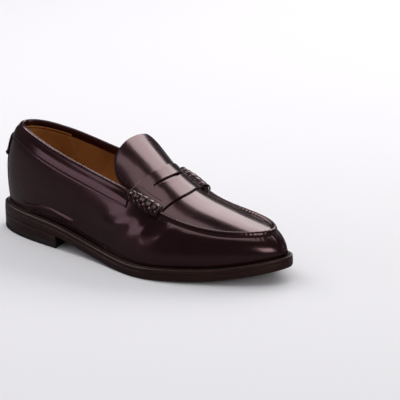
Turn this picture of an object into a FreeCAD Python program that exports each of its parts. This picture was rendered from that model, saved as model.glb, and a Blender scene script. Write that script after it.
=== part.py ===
import FreeCAD, Part

import math
import os

Vector = FreeCAD.Vector

# Penny loafer, right shoe, in millimetres.
# +X points to the toe, +Y to the inner (medial) side, +Z up, and the shoe stands on z = 0.

SIZES = {
    # sole
    "SoleLength": 300.0,
    "SoleWidth": 112.8,
    "OutsoleThickness": 6.2,
    "WeltThickness": 4.0,
    "WeltWidth": 12.0,
    "WeltInset": 0.6,
    "GlueLine": 0.1,
    "CorkThickness": 2.6,
    "ShankThickness": 1.0,
    "ShankWidth": 14.0,
    "ShankLength": 92.0,
    "InsoleThickness": 2.4,
    "SockThickness": 1.2,
    "FeatherInset": 5.8,
    # heel
    "HeelHeight": 14.0,
    "TopPieceThickness": 5.0,
    "LiftThickness": 4.2,
    "HeelLength": 81.0,
    "BreastHollow": 3.0,
    "NailDiameter": 2.4,
    "NailInset": 8.0,
    "NailCount": 7,
    # upper
    "HeelTop": 96.8,
    "SeatTop": 86.2,
    "WaistTop": 75.2,
    "InstepRidge": 86.2,
    "InstepDrop": 20.4,
    "BallRidge": 62.6,
    "BallDrop": 10.6,
    "ToeRidge": 41.2,
    "ToeDrop": 2.4,
    "LeatherThickness": 1.4,
    "LiningThickness": 0.9,
    "CounterThickness": 1.1,
    # trim
    "CollarWidth": 13.5,
    "CollarInside": 5.0,
    "CollarGap": 6.2,
    "CollarThickness": 1.2,
    "StripWidth": 13.0,
    "StripThickness": 1.0,
    "TabWidth": 16.0,
    "TabLength": 22.0,
    "SeamWidth": 4.2,
    "SeamHeight": 2.6,
    "SeamLift": 1.4,
    "SeamClearance": 1.3,
    "ToeSeamWidth": 6.0,
    "ToeSeamHeight": 1.6,
    "ToeSeamDrop": 4.0,
    "FrontLiningDrop": 3.5,
    "ApronLiningInset": 7.5,
    "ApronRear": 9.0,
    # strap
    "StrapThickness": 2.2,
    "StrapRear": 18.0,
    "StrapFront": 45.0,
    "StrapBow": 4.4,
    "SlitLength": 44.0,
    "SlitWidth": 3.0,
    "WrapWidth": 13.0,
    "WrapThickness": 2.2,
    # tongue
    "TongueTip": -12.5,
    "TongueRoot": 7.0,
    "TongueWidth": 65.0,
    "TongueFlare": 3.5,
    "TongueShift": 0.5,
    "TongueSkew": 2.0,
    "TongueCorner": 15.0,
}

# The shoe's plan, station by station from the heel round the outer side to the toe.
# Each station gives its place along the length and the sole's two half widths, then the
# same for the upper edge (topline behind the strap, apron seam in front of it), as shares.
HEEL_TIP = (-0.5, 0.028)
TOE_TIP = (0.5, 0.082)
SOLE_PLAN = {
    "heel": (-0.413, -0.199, 0.306),
    "seat": (-0.267, -0.294, 0.325),
    "waist": (-0.100, -0.370, 0.290),
    "strap": (0.033, -0.466, 0.387),
    "ball": (0.167, -0.500, 0.498),
    "side": (0.317, -0.348, 0.455),
    "corner": (0.433, -0.164, 0.299),
}
EDGE_HEEL = (-0.4433, 0.028)
EDGE_TOE = (0.4333, 0.090)
EDGE_PLAN = {
    "heel": (-0.393, 0.028, 0.142),
    "seat": (-0.267, 0.028, 0.246),
    "waist": (-0.117, 0.030, 0.292),
    "strap": (0.033, 0.040, 0.351),
    "ball": (0.167, 0.011, 0.316),
    "side": (0.293, 0.053, 0.277),
    "corner": (0.390, 0.082, 0.164),
}
# How far the wall bulges beyond its foot and beyond its edge, in millimetres, and how much of
# the wall's height the upper bulge takes.
BULGE_HEEL = (3.0, 14.5, 0.28)
BULGE_TOE = (3.0, 8.0, 0.14)
BULGE = {
    "heel": (3.5, 12.0, 0.28),
    "seat": (4.0, 9.0, 0.28),
    "waist": (5.0, 6.0, 0.28),
    "strap": (4.0, 8.0, 0.30),
    "ball": (2.5, 11.0, 0.20),
    "side": (3.0, 9.0, 0.16),
    "corner": (3.0, 8.0, 0.14),
}
# The upper bulge's share of the height is measured down from the edge, the lower one's up.
LOW_BULGE_HEIGHT = 0.3
# The instep across its width: 2 would be a round arch, more is flatter in the middle.
ARCH_POWER = 2.5
# Under the tongue's end: its middle and its arch, as shares of the width and of the strap's.
TONGUE_MIDDLE = 0.071
TONGUE_ARCH = 0.64
TONGUE_REACH = 32.0
SHEET_REACH = 1.25  # sheets over the instep start this many half widths wide
TOE_NARROWING = 0.65  # the apron's arch at its tip is this much narrower than at its corners
# The strap's edges, in bows ahead of its nominal edge: middle, outer end, inner end.
STRAP_REAR_ARC = (0.45, -3.5, -3.5)
STRAP_FRONT_ARC = (1.25, -1.8, -3.6)
# The slit, in millimetres ahead of the strap's middle: its points, then its two lips.
SLIT_ARC = (-3.1, -1.7, 1.3)
# The sewn rolls: where each starts behind the strap's rear and ends behind its front.
WRAP_SPANS = {"lateral": (5.0, 0.5), "medial": (5.0, 3.0)}
# Gaps in the plan's parameter and in v: butted edges, the wall's foot, the counter, the puff.
BUTT = 0.02
FOOT_GAP = 0.01
COUNTER_REACH = 2.2
COUNTER_TOP = 0.62
PUFF_REACH = 1.7
TOE_SEAM_FOOT = 0.07
APRON_START = 4.2  # in front of this parameter the upper edge is the apron seam
LINING_JOINT = -0.317  # where the heel lining meets the quarter linings, as a share of the length
STRAP_INSET = 0.8  # the strap stops this far inside the upper edge
ZONES = ("heel", "seat", "waist", "strap", "ball", "side", "corner")
TURN = 2 * len(ZONES) + 2  # the plan's parameter runs once round the shoe
TOE = TURN // 2
BALL_CLEARANCE = 0.05  # the underside just clears the floor beside its contact line

SWEEPS = 60  # enough passes for the spline slopes to settle


class Ring:
    """A smooth closed curve through evenly numbered stations."""

    def __init__(self, stations):
        self.points = stations
        self.count = len(stations)
        self.slopes = [Vector() for _ in stations]
        for _ in range(SWEEPS):
            for i in range(self.count):
                after = (i + 1) % self.count
                pull = (stations[after] - stations[i - 1]) * 3
                self.slopes[i] = (pull - self.slopes[i - 1] - self.slopes[after]) * 0.25

    def at(self, t):
        i = math.floor(t)
        f = t - i
        a = i % self.count
        b = (i + 1) % self.count
        rise = self.points[b] - self.points[a]
        bend_a = self.slopes[a] - rise
        bend_b = rise - self.slopes[b]
        return self.points[a] + rise * f + (bend_a * (1 - f) + bend_b * f) * f * (1 - f)

    def outward(self, t):
        step = 0.02
        run = self.at(t + step) - self.at(t - step)
        return Vector(run.y, -run.x, 0).normalize()


class Profile:
    """A natural cubic spline: height over length."""

    def __init__(self, stations):
        self.xs = [x for x, _ in stations]
        self.ys = [y for _, y in stations]
        last = len(stations) - 1
        self.bends = [0.0] * (last + 1)
        for _ in range(SWEEPS):
            for i in range(1, last):
                before = self.xs[i] - self.xs[i - 1]
                after = self.xs[i + 1] - self.xs[i]
                rise = (self.ys[i + 1] - self.ys[i]) / after - (self.ys[i] - self.ys[i - 1]) / before
                pull = 6 * rise - before * self.bends[i - 1] - after * self.bends[i + 1]
                self.bends[i] = pull / (2 * (before + after))

    def at(self, x):
        i = 0
        while i < len(self.xs) - 2 and x > self.xs[i + 1]:
            i += 1
        span = self.xs[i + 1] - self.xs[i]
        b = (x - self.xs[i]) / span
        a = 1 - b
        curve = (a**3 - a) * self.bends[i] + (b**3 - b) * self.bends[i + 1]
        return a * self.ys[i] + b * self.ys[i + 1] + curve * span**2 / 6


def make_sheet(doc):
    """The driving dimensions, one named cell each."""
    sheet = doc.addObject("Spreadsheet::Sheet", "Sizes")
    for row, (name, value) in enumerate(SIZES.items(), start=1):
        sheet.set(f"A{row}", name)
        sheet.set(f"B{row}", str(value))
        sheet.setAlias(f"B{row}", name)
    doc.recompute()
    return sheet


class Last:
    """The shape that every piece follows: sole plan, sole profile, upper wall and instep."""

    def __init__(self, size):
        self.size = size
        length = size.SoleLength
        width = size.SoleWidth
        self.plan = Ring(self.around(
            Vector(HEEL_TIP[0] * length, HEEL_TIP[1] * width, 0),
            Vector(TOE_TIP[0] * length, TOE_TIP[1] * width, 0),
            lambda zone: Vector(SOLE_PLAN[zone][0] * length, SOLE_PLAN[zone][1] * width, 0),
            lambda zone: Vector(SOLE_PLAN[zone][0] * length, SOLE_PLAN[zone][2] * width, 0),
        ))
        heel = size.HeelHeight
        low = BALL_CLEARANCE
        self.under = Profile([
            (-0.5 * length, heel),
            (-0.365 * length, heel - 0.6),
            (-0.24 * length, heel - 2.5),
            (-0.07 * length, low + 3.4),
            (0.1 * length, low),
            (0.2 * length, low + 1.2),
            (0.333 * length, low + 3.7),
            (0.5 * length, low + 13.5),
        ])
        self.sole_top = size.OutsoleThickness + size.GlueLine + size.WeltThickness
        strap_x = EDGE_PLAN["strap"][0] * length
        ball_x = EDGE_PLAN["ball"][0] * length
        toe_x = EDGE_TOE[0] * length
        tongue_x = strap_x - TONGUE_REACH
        rise = (size.InstepRidge - size.BallRidge) / (ball_x - strap_x)
        self.ridge = Profile([
            (tongue_x, size.InstepRidge + 1.19 * TONGUE_REACH * rise),
            (strap_x, size.InstepRidge),
            (ball_x, size.BallRidge),
            (ball_x + 0.37 * (toe_x - ball_x), 0.53 * size.BallRidge + 0.47 * size.ToeRidge),
            (ball_x + 0.70 * (toe_x - ball_x), 0.22 * size.BallRidge + 0.78 * size.ToeRidge),
            (toe_x + 8, size.ToeRidge - 1.8),
        ])
        front = [(EDGE_PLAN[zone][0] * length, EDGE_PLAN[zone]) for zone in ZONES[3:]]
        self.middle = Profile(
            [(tongue_x, TONGUE_MIDDLE * width)] + [(x, plan[1] * width) for x, plan in front])
        self.half = Profile(
            [(tongue_x, EDGE_PLAN["strap"][2] * width)] + [(x, plan[2] * width) for x, plan in front]
            + [(toe_x, TOE_NARROWING * EDGE_PLAN["corner"][2] * width)])
        side_drop = 0.62 * size.BallDrop + 0.2 * size.ToeDrop
        drops = (size.InstepDrop, size.BallDrop, side_drop, size.ToeDrop)
        self.drop = Profile(
            [(tongue_x, TONGUE_ARCH * size.InstepDrop)]
            + [(x, drop) for (x, _), drop in zip(front, drops)] + [(toe_x, size.ToeDrop / 2)])
        self.tops = {"heel": size.HeelTop - 1.6, "seat": size.SeatTop, "waist": size.WaistTop}
        self.edge = Ring(self.around(
            Vector(EDGE_HEEL[0] * length, EDGE_HEEL[1] * width, size.HeelTop),
            self.on_instep(EDGE_TOE[0] * length, EDGE_TOE[1] * width),
            lambda zone: self.edge_station(zone, -1),
            lambda zone: self.edge_station(zone, 1),
        ))
        self.bulge = Ring(self.around(
            Vector(*BULGE_HEEL),
            Vector(*BULGE_TOE),
            lambda zone: Vector(*BULGE[zone]),
            lambda zone: Vector(*BULGE[zone]),
        ))

    def around(self, heel, toe, outer, inner):
        """Stations in order: heel, outer side forwards, toe, inner side backwards."""
        lateral = [outer(zone) for zone in ZONES]
        medial = [inner(zone) for zone in reversed(ZONES)]
        return [heel, *lateral, toe, *medial]

    def edge_station(self, zone, side):
        share_x, share_y, half = EDGE_PLAN[zone]
        x = share_x * self.size.SoleLength
        y = (share_y + side * half) * self.size.SoleWidth
        if zone in self.tops:
            return Vector(x, y, self.tops[zone])
        return self.on_instep(x, y)

    def on_instep(self, x, y, rise=0.0):
        """The instep's upper surface, which the apron, strap and tongue follow."""
        share = abs(y - self.middle.at(x)) / self.half.at(x)
        drop = max(self.drop.at(x), 0.0) * share**ARCH_POWER
        return Vector(x, y, self.ridge.at(x) - drop + rise)

    def rim(self, t, inset, height=0.0):
        """A point of the sole's outline, moved inwards."""
        point = self.plan.at(t) - self.plan.outward(t) * inset
        return Vector(point.x, point.y, height)

    def wall(self, t, v):
        """The upper's side: v = 0 on the welt, v = 1 at the topline or apron seam."""
        out = self.plan.outward(t)
        foot = self.rim(t, self.size.FeatherInset)
        foot.z = self.under.at(foot.x) + self.sole_top + self.size.GlueLine
        top = self.edge.at(t)
        rise = top.z - foot.z
        low, high, share = self.bulge.at(t)
        knee = foot + out * low + Vector(0, 0, LOW_BULGE_HEIGHT * rise)
        shoulder = top + out * high - Vector(0, 0, share * rise)
        w = 1 - v
        return foot * w**3 + knee * (3 * v * w**2) + shoulder * (3 * v**2 * w) + top * v**3

    def facing(self, t, v):
        """The wall's outward normal."""
        step = 0.01
        along = self.wall(t + step, v) - self.wall(t - step, v)
        upward = self.wall(t, min(v + step, 1)) - self.wall(t, v - step)
        return along.cross(upward).normalize()

    def on_wall(self, t, v, offset):
        return self.wall(t, v) + self.facing(t, v) * offset

    def below_edge(self, t, distance):
        """The v that lies a given distance down the wall from its edge."""
        step = 1 / 40
        v = 1.0
        point = self.wall(t, v)
        while v > step:
            following = self.wall(t, v - step)
            run = (following - point).Length
            if run >= distance:
                return v - step * distance / run
            distance -= run
            v -= step
            point = following
        return v

    def t_at(self, ring, x, start, end):
        """The parameter where a ring passes a given length, between two parameters."""
        rising = ring.at(end).x > ring.at(start).x
        for _ in range(40):
            middle = (start + end) / 2
            if (ring.at(middle).x > x) == rising:
                end = middle
            else:
                start = middle
        return (start + end) / 2


def spaced(start, end, count):
    return [start + (end - start) * i / (count - 1) for i in range(count)]


def solid_between(outer, inner):
    """A closed solid between two grids of points that run the same way."""
    over = Part.BSplineSurface()
    over.interpolate(outer)
    under = Part.BSplineSurface()
    under.interpolate(inner)
    u0, u1, v0, v1 = over.bounds()
    a0, a1, b0, b1 = under.bounds()
    pairs = (
        (over.uIso(u0), under.uIso(a0)),
        (over.uIso(u1), under.uIso(a1)),
        (over.vIso(v0), under.vIso(b0)),
        (over.vIso(v1), under.vIso(b1)),
    )
    sides = [
        Part.makeLoft([Part.Wire(top.toShape()), Part.Wire(low.toShape())], False, True).Faces[0]
        for top, low in pairs
    ]
    shell = Part.makeShell([over.toShape(), under.toShape(), *sides])
    shell.sewShape()
    solid = Part.makeSolid(shell)
    if solid.Volume < 0:
        solid.reverse()
    return solid


def add_feature(doc, name, shape):
    piece = doc.addObject("Part::Feature", name)
    piece.Shape = shape
    piece.Placement = FreeCAD.Placement()
    piece.Label = name
    return piece


def wall_sheet(doc, last, name, span, low, high, outside, thickness, columns, rows=9):
    """A piece of leather that follows the wall: low and high give its v at each t."""
    def grid(offset):
        return [
            [last.on_wall(t, v, offset) for v in spaced(low(t), high(t), rows)]
            for t in spaced(*span, columns)
        ]
    return add_feature(doc, name, solid_between(grid(outside), grid(outside - thickness)))


def instep_sheet(doc, last, name, length, offset, thickness):
    """A sheet over the instep's whole width, to be trimmed to its plan."""
    def row(x, rise):
        middle = last.middle.at(x)
        half = SHEET_REACH * last.half.at(x)
        return [last.on_instep(x, y, rise) for y in spaced(middle - half, middle + half, 15)]

    def grid(rise):
        return [row(x, rise) for x in spaced(*length, 15)]
    return add_feature(doc, name, solid_between(grid(offset), grid(offset - thickness)))


def origin_plane(body, role):
    return next(f for f in body.Origin.OriginFeatures if f.Role == role)


def new_sketch(body, name, role):
    sketch = body.newObject("Sketcher::SketchObject", name)
    sketch.AttachmentSupport = (origin_plane(body, role), "")
    sketch.MapMode = "FlatFace"
    return sketch


def plan_body(doc, name, height, base, loops):
    """A prism over a plan outline, from base upwards by the cell named height."""
    body = doc.addObject("PartDesign::Body", name)
    sketch = new_sketch(body, f"{name}_outline", "XY_Plane")
    sketch.AttachmentOffset = FreeCAD.Placement(Vector(0, 0, base), FreeCAD.Rotation())
    for loop in loops:
        for curve in loop:
            sketch.addGeometry(curve, False)
    pad = body.newObject("PartDesign::Pad", f"{name}_pad")
    pad.Profile = sketch
    pad.setExpression("Length", height)
    sketch.Visibility = False
    return body


def band_body(doc, last, name, low, high):
    """A slab across the shoe between two heights over the sole's underside."""
    length = last.size.SoleLength
    ends = (-0.55 * length, 0.55 * length)
    body = doc.addObject("PartDesign::Body", name)
    sketch = new_sketch(body, f"{name}_profile", "XZ_Plane")
    stations = spaced(*ends, 23)
    lower = [Vector(x, low(x), 0) for x in stations]
    upper = [Vector(x, high(x), 0) for x in stations]
    sketch.addGeometry(through(lower), False)
    sketch.addGeometry(through(upper), False)
    sketch.addGeometry(Part.LineSegment(lower[0], upper[0]), False)
    sketch.addGeometry(Part.LineSegment(lower[-1], upper[-1]), False)
    pad = body.newObject("PartDesign::Pad", f"{name}_pad")
    pad.Profile = sketch
    pad.setExpression("Length", "Sizes.SoleWidth * 1.4")
    pad.Midplane = True
    return body


def through(points, closed=False):
    curve = Part.BSplineCurve()
    curve.interpolate(Points=points, PeriodicFlag=closed)
    return curve


def outline(last, inset):
    """The sole's outline as one closed curve."""
    count = 4 * TURN
    return [through([last.rim(TURN * i / count, inset) for i in range(count)], closed=True)]


def common(doc, name, base, tool):
    piece = doc.addObject("Part::MultiCommon", name)
    piece.Shapes = [base, tool]
    piece.Label = name
    return piece


def cut(doc, name, base, tool):
    piece = doc.addObject("Part::Cut", name)
    piece.Base = base
    piece.Tool = tool
    piece.Label = name
    return piece


def layer(doc, last, name, loops, low, high):
    """A sheet of the bottom: its plan outline kept between two curved levels."""
    plan = plan_body(doc, f"{name}_plan", "Sizes.HeelTop", -1.0, loops)
    band = band_body(doc, last, f"{name}_band", low, high)
    return common(doc, name, plan, band)


def level(last, height):
    return lambda x: last.under.at(x) + height


def make_sole(doc, last):
    size = last.size
    glue = size.GlueLine
    welt_low = size.OutsoleThickness + glue
    ring_inset = size.WeltInset + size.WeltWidth
    pieces = [
        layer(doc, last, "outsole", [outline(last, 0)], level(last, 0),
              level(last, size.OutsoleThickness)),
        layer(doc, last, "welt", [outline(last, size.WeltInset), outline(last, ring_inset)],
              level(last, welt_low), level(last, welt_low + size.WeltThickness)),
        layer(doc, last, "cork_filler", [outline(last, ring_inset + glue)],
              level(last, welt_low), level(last, welt_low + size.CorkThickness)),
    ]
    insole_low = last.sole_top + glue
    insole_high = insole_low + size.InsoleThickness
    inside = size.FeatherInset + size.LeatherThickness + size.CounterThickness
    insole_inset = inside + size.LiningThickness + 4 * glue
    pieces.append(
        layer(doc, last, "insole_board", [outline(last, insole_inset)],
              level(last, insole_low), level(last, insole_high)))
    sock_low = insole_high + glue
    pieces.append(
        layer(doc, last, "sock_liner", [outline(last, insole_inset + 0.5)],
              level(last, sock_low), level(last, sock_low + size.SockThickness)))
    pieces.append(make_shank(doc, last, welt_low + size.CorkThickness + glue))
    return pieces


def make_shank(doc, last, low):
    """A steel strip along the waist, on the cork and under the insole board."""
    size = last.size
    middle = -0.16 * size.SoleLength
    half = size.ShankLength / 2 - size.ShankWidth / 2
    edge = size.ShankWidth / 2
    rear = Vector(middle - half, 0, 0)
    front = Vector(middle + half, 0, 0)
    up = Vector(0, edge, 0)
    side = Vector(edge, 0, 0)
    loop = [
        Part.LineSegment(rear - up, front - up),
        Part.Arc(front - up, front + side, front + up),
        Part.LineSegment(front + up, rear + up),
        Part.Arc(rear + up, rear - side, rear - up),
    ]
    return layer(doc, last, "shank", [loop], level(last, low),
                 level(last, low + size.ShankThickness))


def heel_loop(last, inset):
    """The heel's outline: the sole's own round the back, closed by a hollow breast."""
    size = last.size
    breast = -0.5 * size.SoleLength + size.HeelLength
    outer = last.t_at(last.plan, breast, 1, 4)
    inner = last.t_at(last.plan, breast, TURN - 1, TURN - 4)
    around = through([last.rim(t, inset) for t in spaced(inner, outer + TURN, 25)])
    first = last.rim(inner, inset)
    final = last.rim(outer, inset)
    hollow = (first + final) * 0.5 - Vector(size.BreastHollow, 0, 0)
    return [around, Part.Arc(final, hollow, first)]


def make_heel(doc, last):
    """Top piece, two lifts and the nails through them."""
    size = last.size
    glue = size.GlueLine
    first_lift = size.TopPieceThickness + glue
    second_lift = first_lift + size.LiftThickness + glue
    top_piece = plan_body(doc, "heel_top_piece_block", "Sizes.TopPieceThickness", 0.0,
                          [heel_loop(last, 0.2)])
    lower = plan_body(doc, "heel_lift_lower_block", "Sizes.LiftThickness", first_lift,
                      [heel_loop(last, 0.1)])
    plan = plan_body(doc, "heel_lift_upper_plan", "Sizes.HeelHeight", 0.0, [heel_loop(last, 0.0)])
    band = band_body(doc, last, "heel_lift_upper_band", lambda x: second_lift, level(last, -glue))
    upper = common(doc, "heel_lift_upper_block", plan, band)
    nails = make_nails(doc, last)
    return [
        nails,
        cut(doc, "heel_top_piece", top_piece, nails),
        cut(doc, "heel_lift_lower", lower, nails),
        cut(doc, "heel_lift_upper", upper, nails),
    ]


def make_nails(doc, last):
    """Nails in an arc that follows the heel's edge, from the ground face up into the lifts."""
    size = last.size
    breast = -0.5 * size.SoleLength + size.HeelLength
    outer = last.t_at(last.plan, breast + size.NailInset * -2, 1, 4)
    nails = []
    for index, t in enumerate(spaced(TURN - outer, TURN + outer, int(size.NailCount))):
        nail = doc.addObject("Part::Cylinder", f"nail_{index + 1}")
        nail.setExpression("Radius", "Sizes.NailDiameter / 2")
        nail.setExpression("Height", "Sizes.HeelHeight * 0.7")
        nail.Placement = FreeCAD.Placement(last.rim(t, size.NailInset), FreeCAD.Rotation())
        nails.append(nail)
    group = doc.addObject("Part::Compound", "heel_nails")
    group.Links = nails
    group.Label = "heel_nails"
    return group


def make_sides(doc, last):
    """The two side pieces, joined at the toe and at the back of the heel."""
    size = last.size

    def top(t):
        if APRON_START < t % TURN < TURN - APRON_START:
            return last.below_edge(t, size.SeamClearance)
        return 1.0
    spans = {"side_lateral": (BUTT, TOE - BUTT), "side_medial": (TOE + BUTT, TURN - BUTT)}
    return [
        wall_sheet(doc, last, name, span, lambda t: 0.0, top, 0.0, size.LeatherThickness, 41)
        for name, span in spans.items()
    ]


def make_stiffeners(doc, last):
    """Heel counter and toe puff, between the outer leather and the lining."""
    size = last.size
    outside = -size.LeatherThickness - size.GlueLine
    heel = (-COUNTER_REACH, COUNTER_REACH)
    toe = (TOE - PUFF_REACH, TOE + PUFF_REACH)
    counter = wall_sheet(doc, last, "heel_counter", heel, lambda t: FOOT_GAP,
                         lambda t: COUNTER_TOP, outside, size.CounterThickness, 21, 7)
    puff = wall_sheet(doc, last, "toe_puff", toe, lambda t: FOOT_GAP,
                      lambda t: last.below_edge(t, size.FrontLiningDrop), outside,
                      size.CounterThickness, 19, 7)
    return [counter, puff]


def make_linings(doc, last):
    """Heel lining, the two quarter linings and the front lining."""
    size = last.size
    outside = -size.LeatherThickness - size.CounterThickness - 2 * size.GlueLine
    rear = last.t_at(last.edge, LINING_JOINT * size.SoleLength, 0.5, 3)
    front = last.t_at(last.edge, size.StrapFront, 3, 6)

    def collar_top(t):
        return last.below_edge(t, 2 * size.GlueLine)

    def seam_top(t):
        return last.below_edge(t, size.FrontLiningDrop)
    spans = {
        "heel_lining": (-rear + BUTT, rear - BUTT, collar_top, 17),
        "quarter_lining_lateral": (rear + BUTT, front - BUTT, collar_top, 15),
        "quarter_lining_medial": (TURN - front + BUTT, TURN - rear - BUTT, collar_top, 15),
        "vamp_lining": (front + BUTT, TURN - front - BUTT, seam_top, 31),
    }
    return [
        wall_sheet(doc, last, name, (start, end), lambda t: FOOT_GAP, top, outside,
                   size.LiningThickness, columns, 7)
        for name, (start, end, top, columns) in spans.items()
    ]


def collar_span(last):
    """The collar band ends just behind the strap on both sides."""
    end = last.t_at(last.edge, last.size.StrapRear - last.size.CollarGap, 3, 5)
    return (-end, end)


def make_collar(doc, last):
    """A band folded over the topline: down the outside, round the top, down the inside."""
    size = last.size
    gap = 2 * size.GlueLine
    stack = (size.LeatherThickness + size.CounterThickness + size.LiningThickness
             + 2 * size.GlueLine)
    radius = stack / 2 + gap
    turns = spaced(0, math.pi, 5)

    def section(t, extra):
        down = [last.below_edge(t, size.CollarWidth * share) for share in (1.0, 0.66, 0.33)]
        points = [last.on_wall(t, v, gap + extra) for v in down]
        face = last.facing(t, 1.0)
        upward = (last.wall(t, 1.0) - last.wall(t, 0.97)).normalize()
        centre = last.wall(t, 1.0) - face * (stack / 2) + upward * gap
        for turn in turns:
            reach = face * math.cos(turn) + upward * math.sin(turn)
            points.append(centre + reach * (radius + extra))
        for share in (0.5, 1.0):
            v = last.below_edge(t, size.CollarInside * share)
            points.append(last.on_wall(t, v, -stack - gap - extra))
        return through(points).discretize(Number=17)
    columns = spaced(*collar_span(last), 41)
    outer = [section(t, size.CollarThickness) for t in columns]
    inner = [section(t, 0.0) for t in columns]
    return add_feature(doc, "collar_band", solid_between(outer, inner))


def make_back(doc, last):
    """The strip over the heel seam and the tab stitched over the strip's upper end."""
    size = last.size
    gap = 2 * size.GlueLine

    def strip_top(t):
        return last.below_edge(t, size.CollarWidth + 0.6)

    def half(width):
        reach = 1.0
        for _ in range(30):
            span = (last.wall(reach, 0.5) - last.wall(-reach, 0.5)).Length
            reach *= (width / span)
        return reach
    strip = half(size.StripWidth)
    tab = half(size.TabWidth)
    strip_out = gap + size.StripThickness
    return [
        wall_sheet(doc, last, "back_strip", (-strip, strip), lambda t: FOOT_GAP, strip_top,
                   strip_out, size.StripThickness, 7),
        wall_sheet(doc, last, "heel_tab", (-tab, tab),
                   lambda t: last.below_edge(t, size.CollarWidth + size.TabLength), strip_top,
                   strip_out + gap + size.StripThickness, size.StripThickness, 7),
    ]


def make_toe_seam(doc, last):
    """The raised seam down the middle of the toe."""
    size = last.size
    reach = size.ToeSeamWidth / 2 / (last.wall(TOE + 0.5, 0.5) - last.wall(TOE - 0.5, 0.5)).Length
    gap = 2 * size.GlueLine
    columns = spaced(-1, 1, 7)

    def grid(rise):
        rows = []
        for share in columns:
            height = gap + rise * (1 - 0.75 * share**2)
            t = TOE + share * reach
            rows.append([
                last.on_wall(t, v, height)
                for v in spaced(TOE_SEAM_FOOT, last.below_edge(t, size.ToeSeamDrop), 7)
            ])
        return rows
    return add_feature(doc, "toe_seam", solid_between(grid(size.ToeSeamHeight), grid(0.0)))


def across_edge(last, t, distance, rise):
    """A point over the apron seam's neighbourhood: positive distances lie on the apron."""
    if distance <= 0:
        return last.on_wall(t, last.below_edge(t, -distance), rise)
    point = last.edge.at(t) - last.edge.outward(t) * distance
    return last.on_instep(point.x, point.y, rise)


def make_moc_seam(doc, last):
    """The rolled seam that joins the apron to the sides."""
    size = last.size
    starts = {
        side: last.t_at(last.edge, size.StrapFront - front + 2 * size.SeamLift, 3, 6)
        for side, (_, front) in WRAP_SPANS.items()
    }
    half = size.SeamWidth / 2
    shares = spaced(-1, 1, 9)

    def grid(height):
        rows = []
        for t in spaced(starts["lateral"], TURN - starts["medial"], 49):
            face = (last.facing(t, 0.99) + Vector(0, 0, 1)).normalize()
            inward = last.edge.outward(t) * -1
            flat = (inward - face * inward.dot(face)).normalize()
            centre = last.edge.at(t) + face * size.SeamLift
            rows.append([
                centre + flat * (share * half) + face * (height * math.cos(share * math.pi / 3))
                for share in shares
            ])
        return rows
    return add_feature(doc, "moc_seam", solid_between(grid(size.SeamHeight), grid(0.0)))


def make_wraps(doc, last):
    """The stitched rolls that hold the strap's two ends down on the apron seam."""
    size = last.size
    half = size.WrapWidth / 2
    over_strap = size.StrapThickness + 7 * size.GlueLine

    def lift(distance):
        share = min(max((distance + half) / half, 0), 1)
        return 4 * size.GlueLine + (over_strap - 2 * size.GlueLine) * share

    def grid(span, extra):
        return [
            [across_edge(last, t, d, lift(d) + extra) for d in spaced(-half, half, 13)]
            for t in spaced(*span, 9)
        ]
    wraps = []
    for side, (behind, before) in WRAP_SPANS.items():
        rear = last.t_at(last.edge, size.StrapRear - behind, 3, 6)
        front = last.t_at(last.edge, size.StrapFront - before, 3, 6)
        span = (rear, front) if side == "lateral" else (TURN - front, TURN - rear)
        shape = solid_between(grid(span, size.WrapThickness), grid(span, 0.0))
        wraps.append(add_feature(doc, f"strap_wrap_{side}", shape))
    return wraps


def edge_loop(last, inset):
    """The plan of the upper edge, moved inwards."""
    count = 4 * TURN
    points = []
    for i in range(count):
        t = TURN * i / count
        point = last.edge.at(t) - last.edge.outward(t) * inset
        points.append(Vector(point.x, point.y, 0))
    return [through(points, closed=True)]


def make_apron(doc, last):
    """The apron and its lining, from under the strap to the toe."""
    size = last.size
    rear = size.StrapRear + size.ApronRear
    front = EDGE_TOE[0] * size.SoleLength + size.ToeSeamWidth
    pieces = []
    lining_drop = -2 * size.LeatherThickness - size.CounterThickness - size.GlueLine
    rows = (
        ("apron", size.SeamClearance, rear, 0.0, size.LeatherThickness),
        ("apron_lining", size.ApronLiningInset, rear + size.LiningThickness, lining_drop,
         size.LiningThickness),
    )
    for name, inset, start, offset, thickness in rows:
        skin = instep_sheet(doc, last, f"{name}_skin", (start, front), offset, thickness)
        plan = plan_body(doc, f"{name}_plan", "Sizes.HeelTop", 0.0, [edge_loop(last, inset)])
        pieces.append(common(doc, name, skin, plan))
    return pieces


def make_strap(doc, last):
    """The strap over the instep with its slit."""
    size = last.size
    middle = last.middle.at((size.StrapRear + size.StrapFront) / 2)
    half = 0.5 * size.SoleWidth
    low = middle - half
    high = middle + half
    rear, rear_low, rear_high = (size.StrapRear + size.StrapBow * n for n in STRAP_REAR_ARC)
    front, front_low, front_high = (size.StrapFront + size.StrapBow * n for n in STRAP_FRONT_ARC)
    corners = [Vector(x, low, 0) for x in (rear_low, front_low)]
    corners += [Vector(x, high, 0) for x in (front_high, rear_high)]
    band = [
        Part.Arc(corners[0], Vector(rear, middle, 0), corners[3]),
        Part.LineSegment(corners[3], corners[2]),
        Part.Arc(corners[2], Vector(front, middle, 0), corners[1]),
        Part.LineSegment(corners[1], corners[0]),
    ]
    skin = instep_sheet(doc, last, "strap_skin", (size.StrapRear - 14, size.StrapFront + 8),
                        size.StrapThickness + 3 * size.GlueLine, size.StrapThickness)
    plan = plan_body(doc, "strap_plan", "Sizes.HeelTop", 0.0, [band])
    reach = plan_body(doc, "strap_reach", "Sizes.HeelTop", 0.0, [edge_loop(last, STRAP_INSET)])
    whole = common(doc, "strap_trimmed", common(doc, "strap_band", skin, plan), reach)
    slit = make_slit(doc, last)
    return [cut(doc, "strap", whole, slit)]


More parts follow.
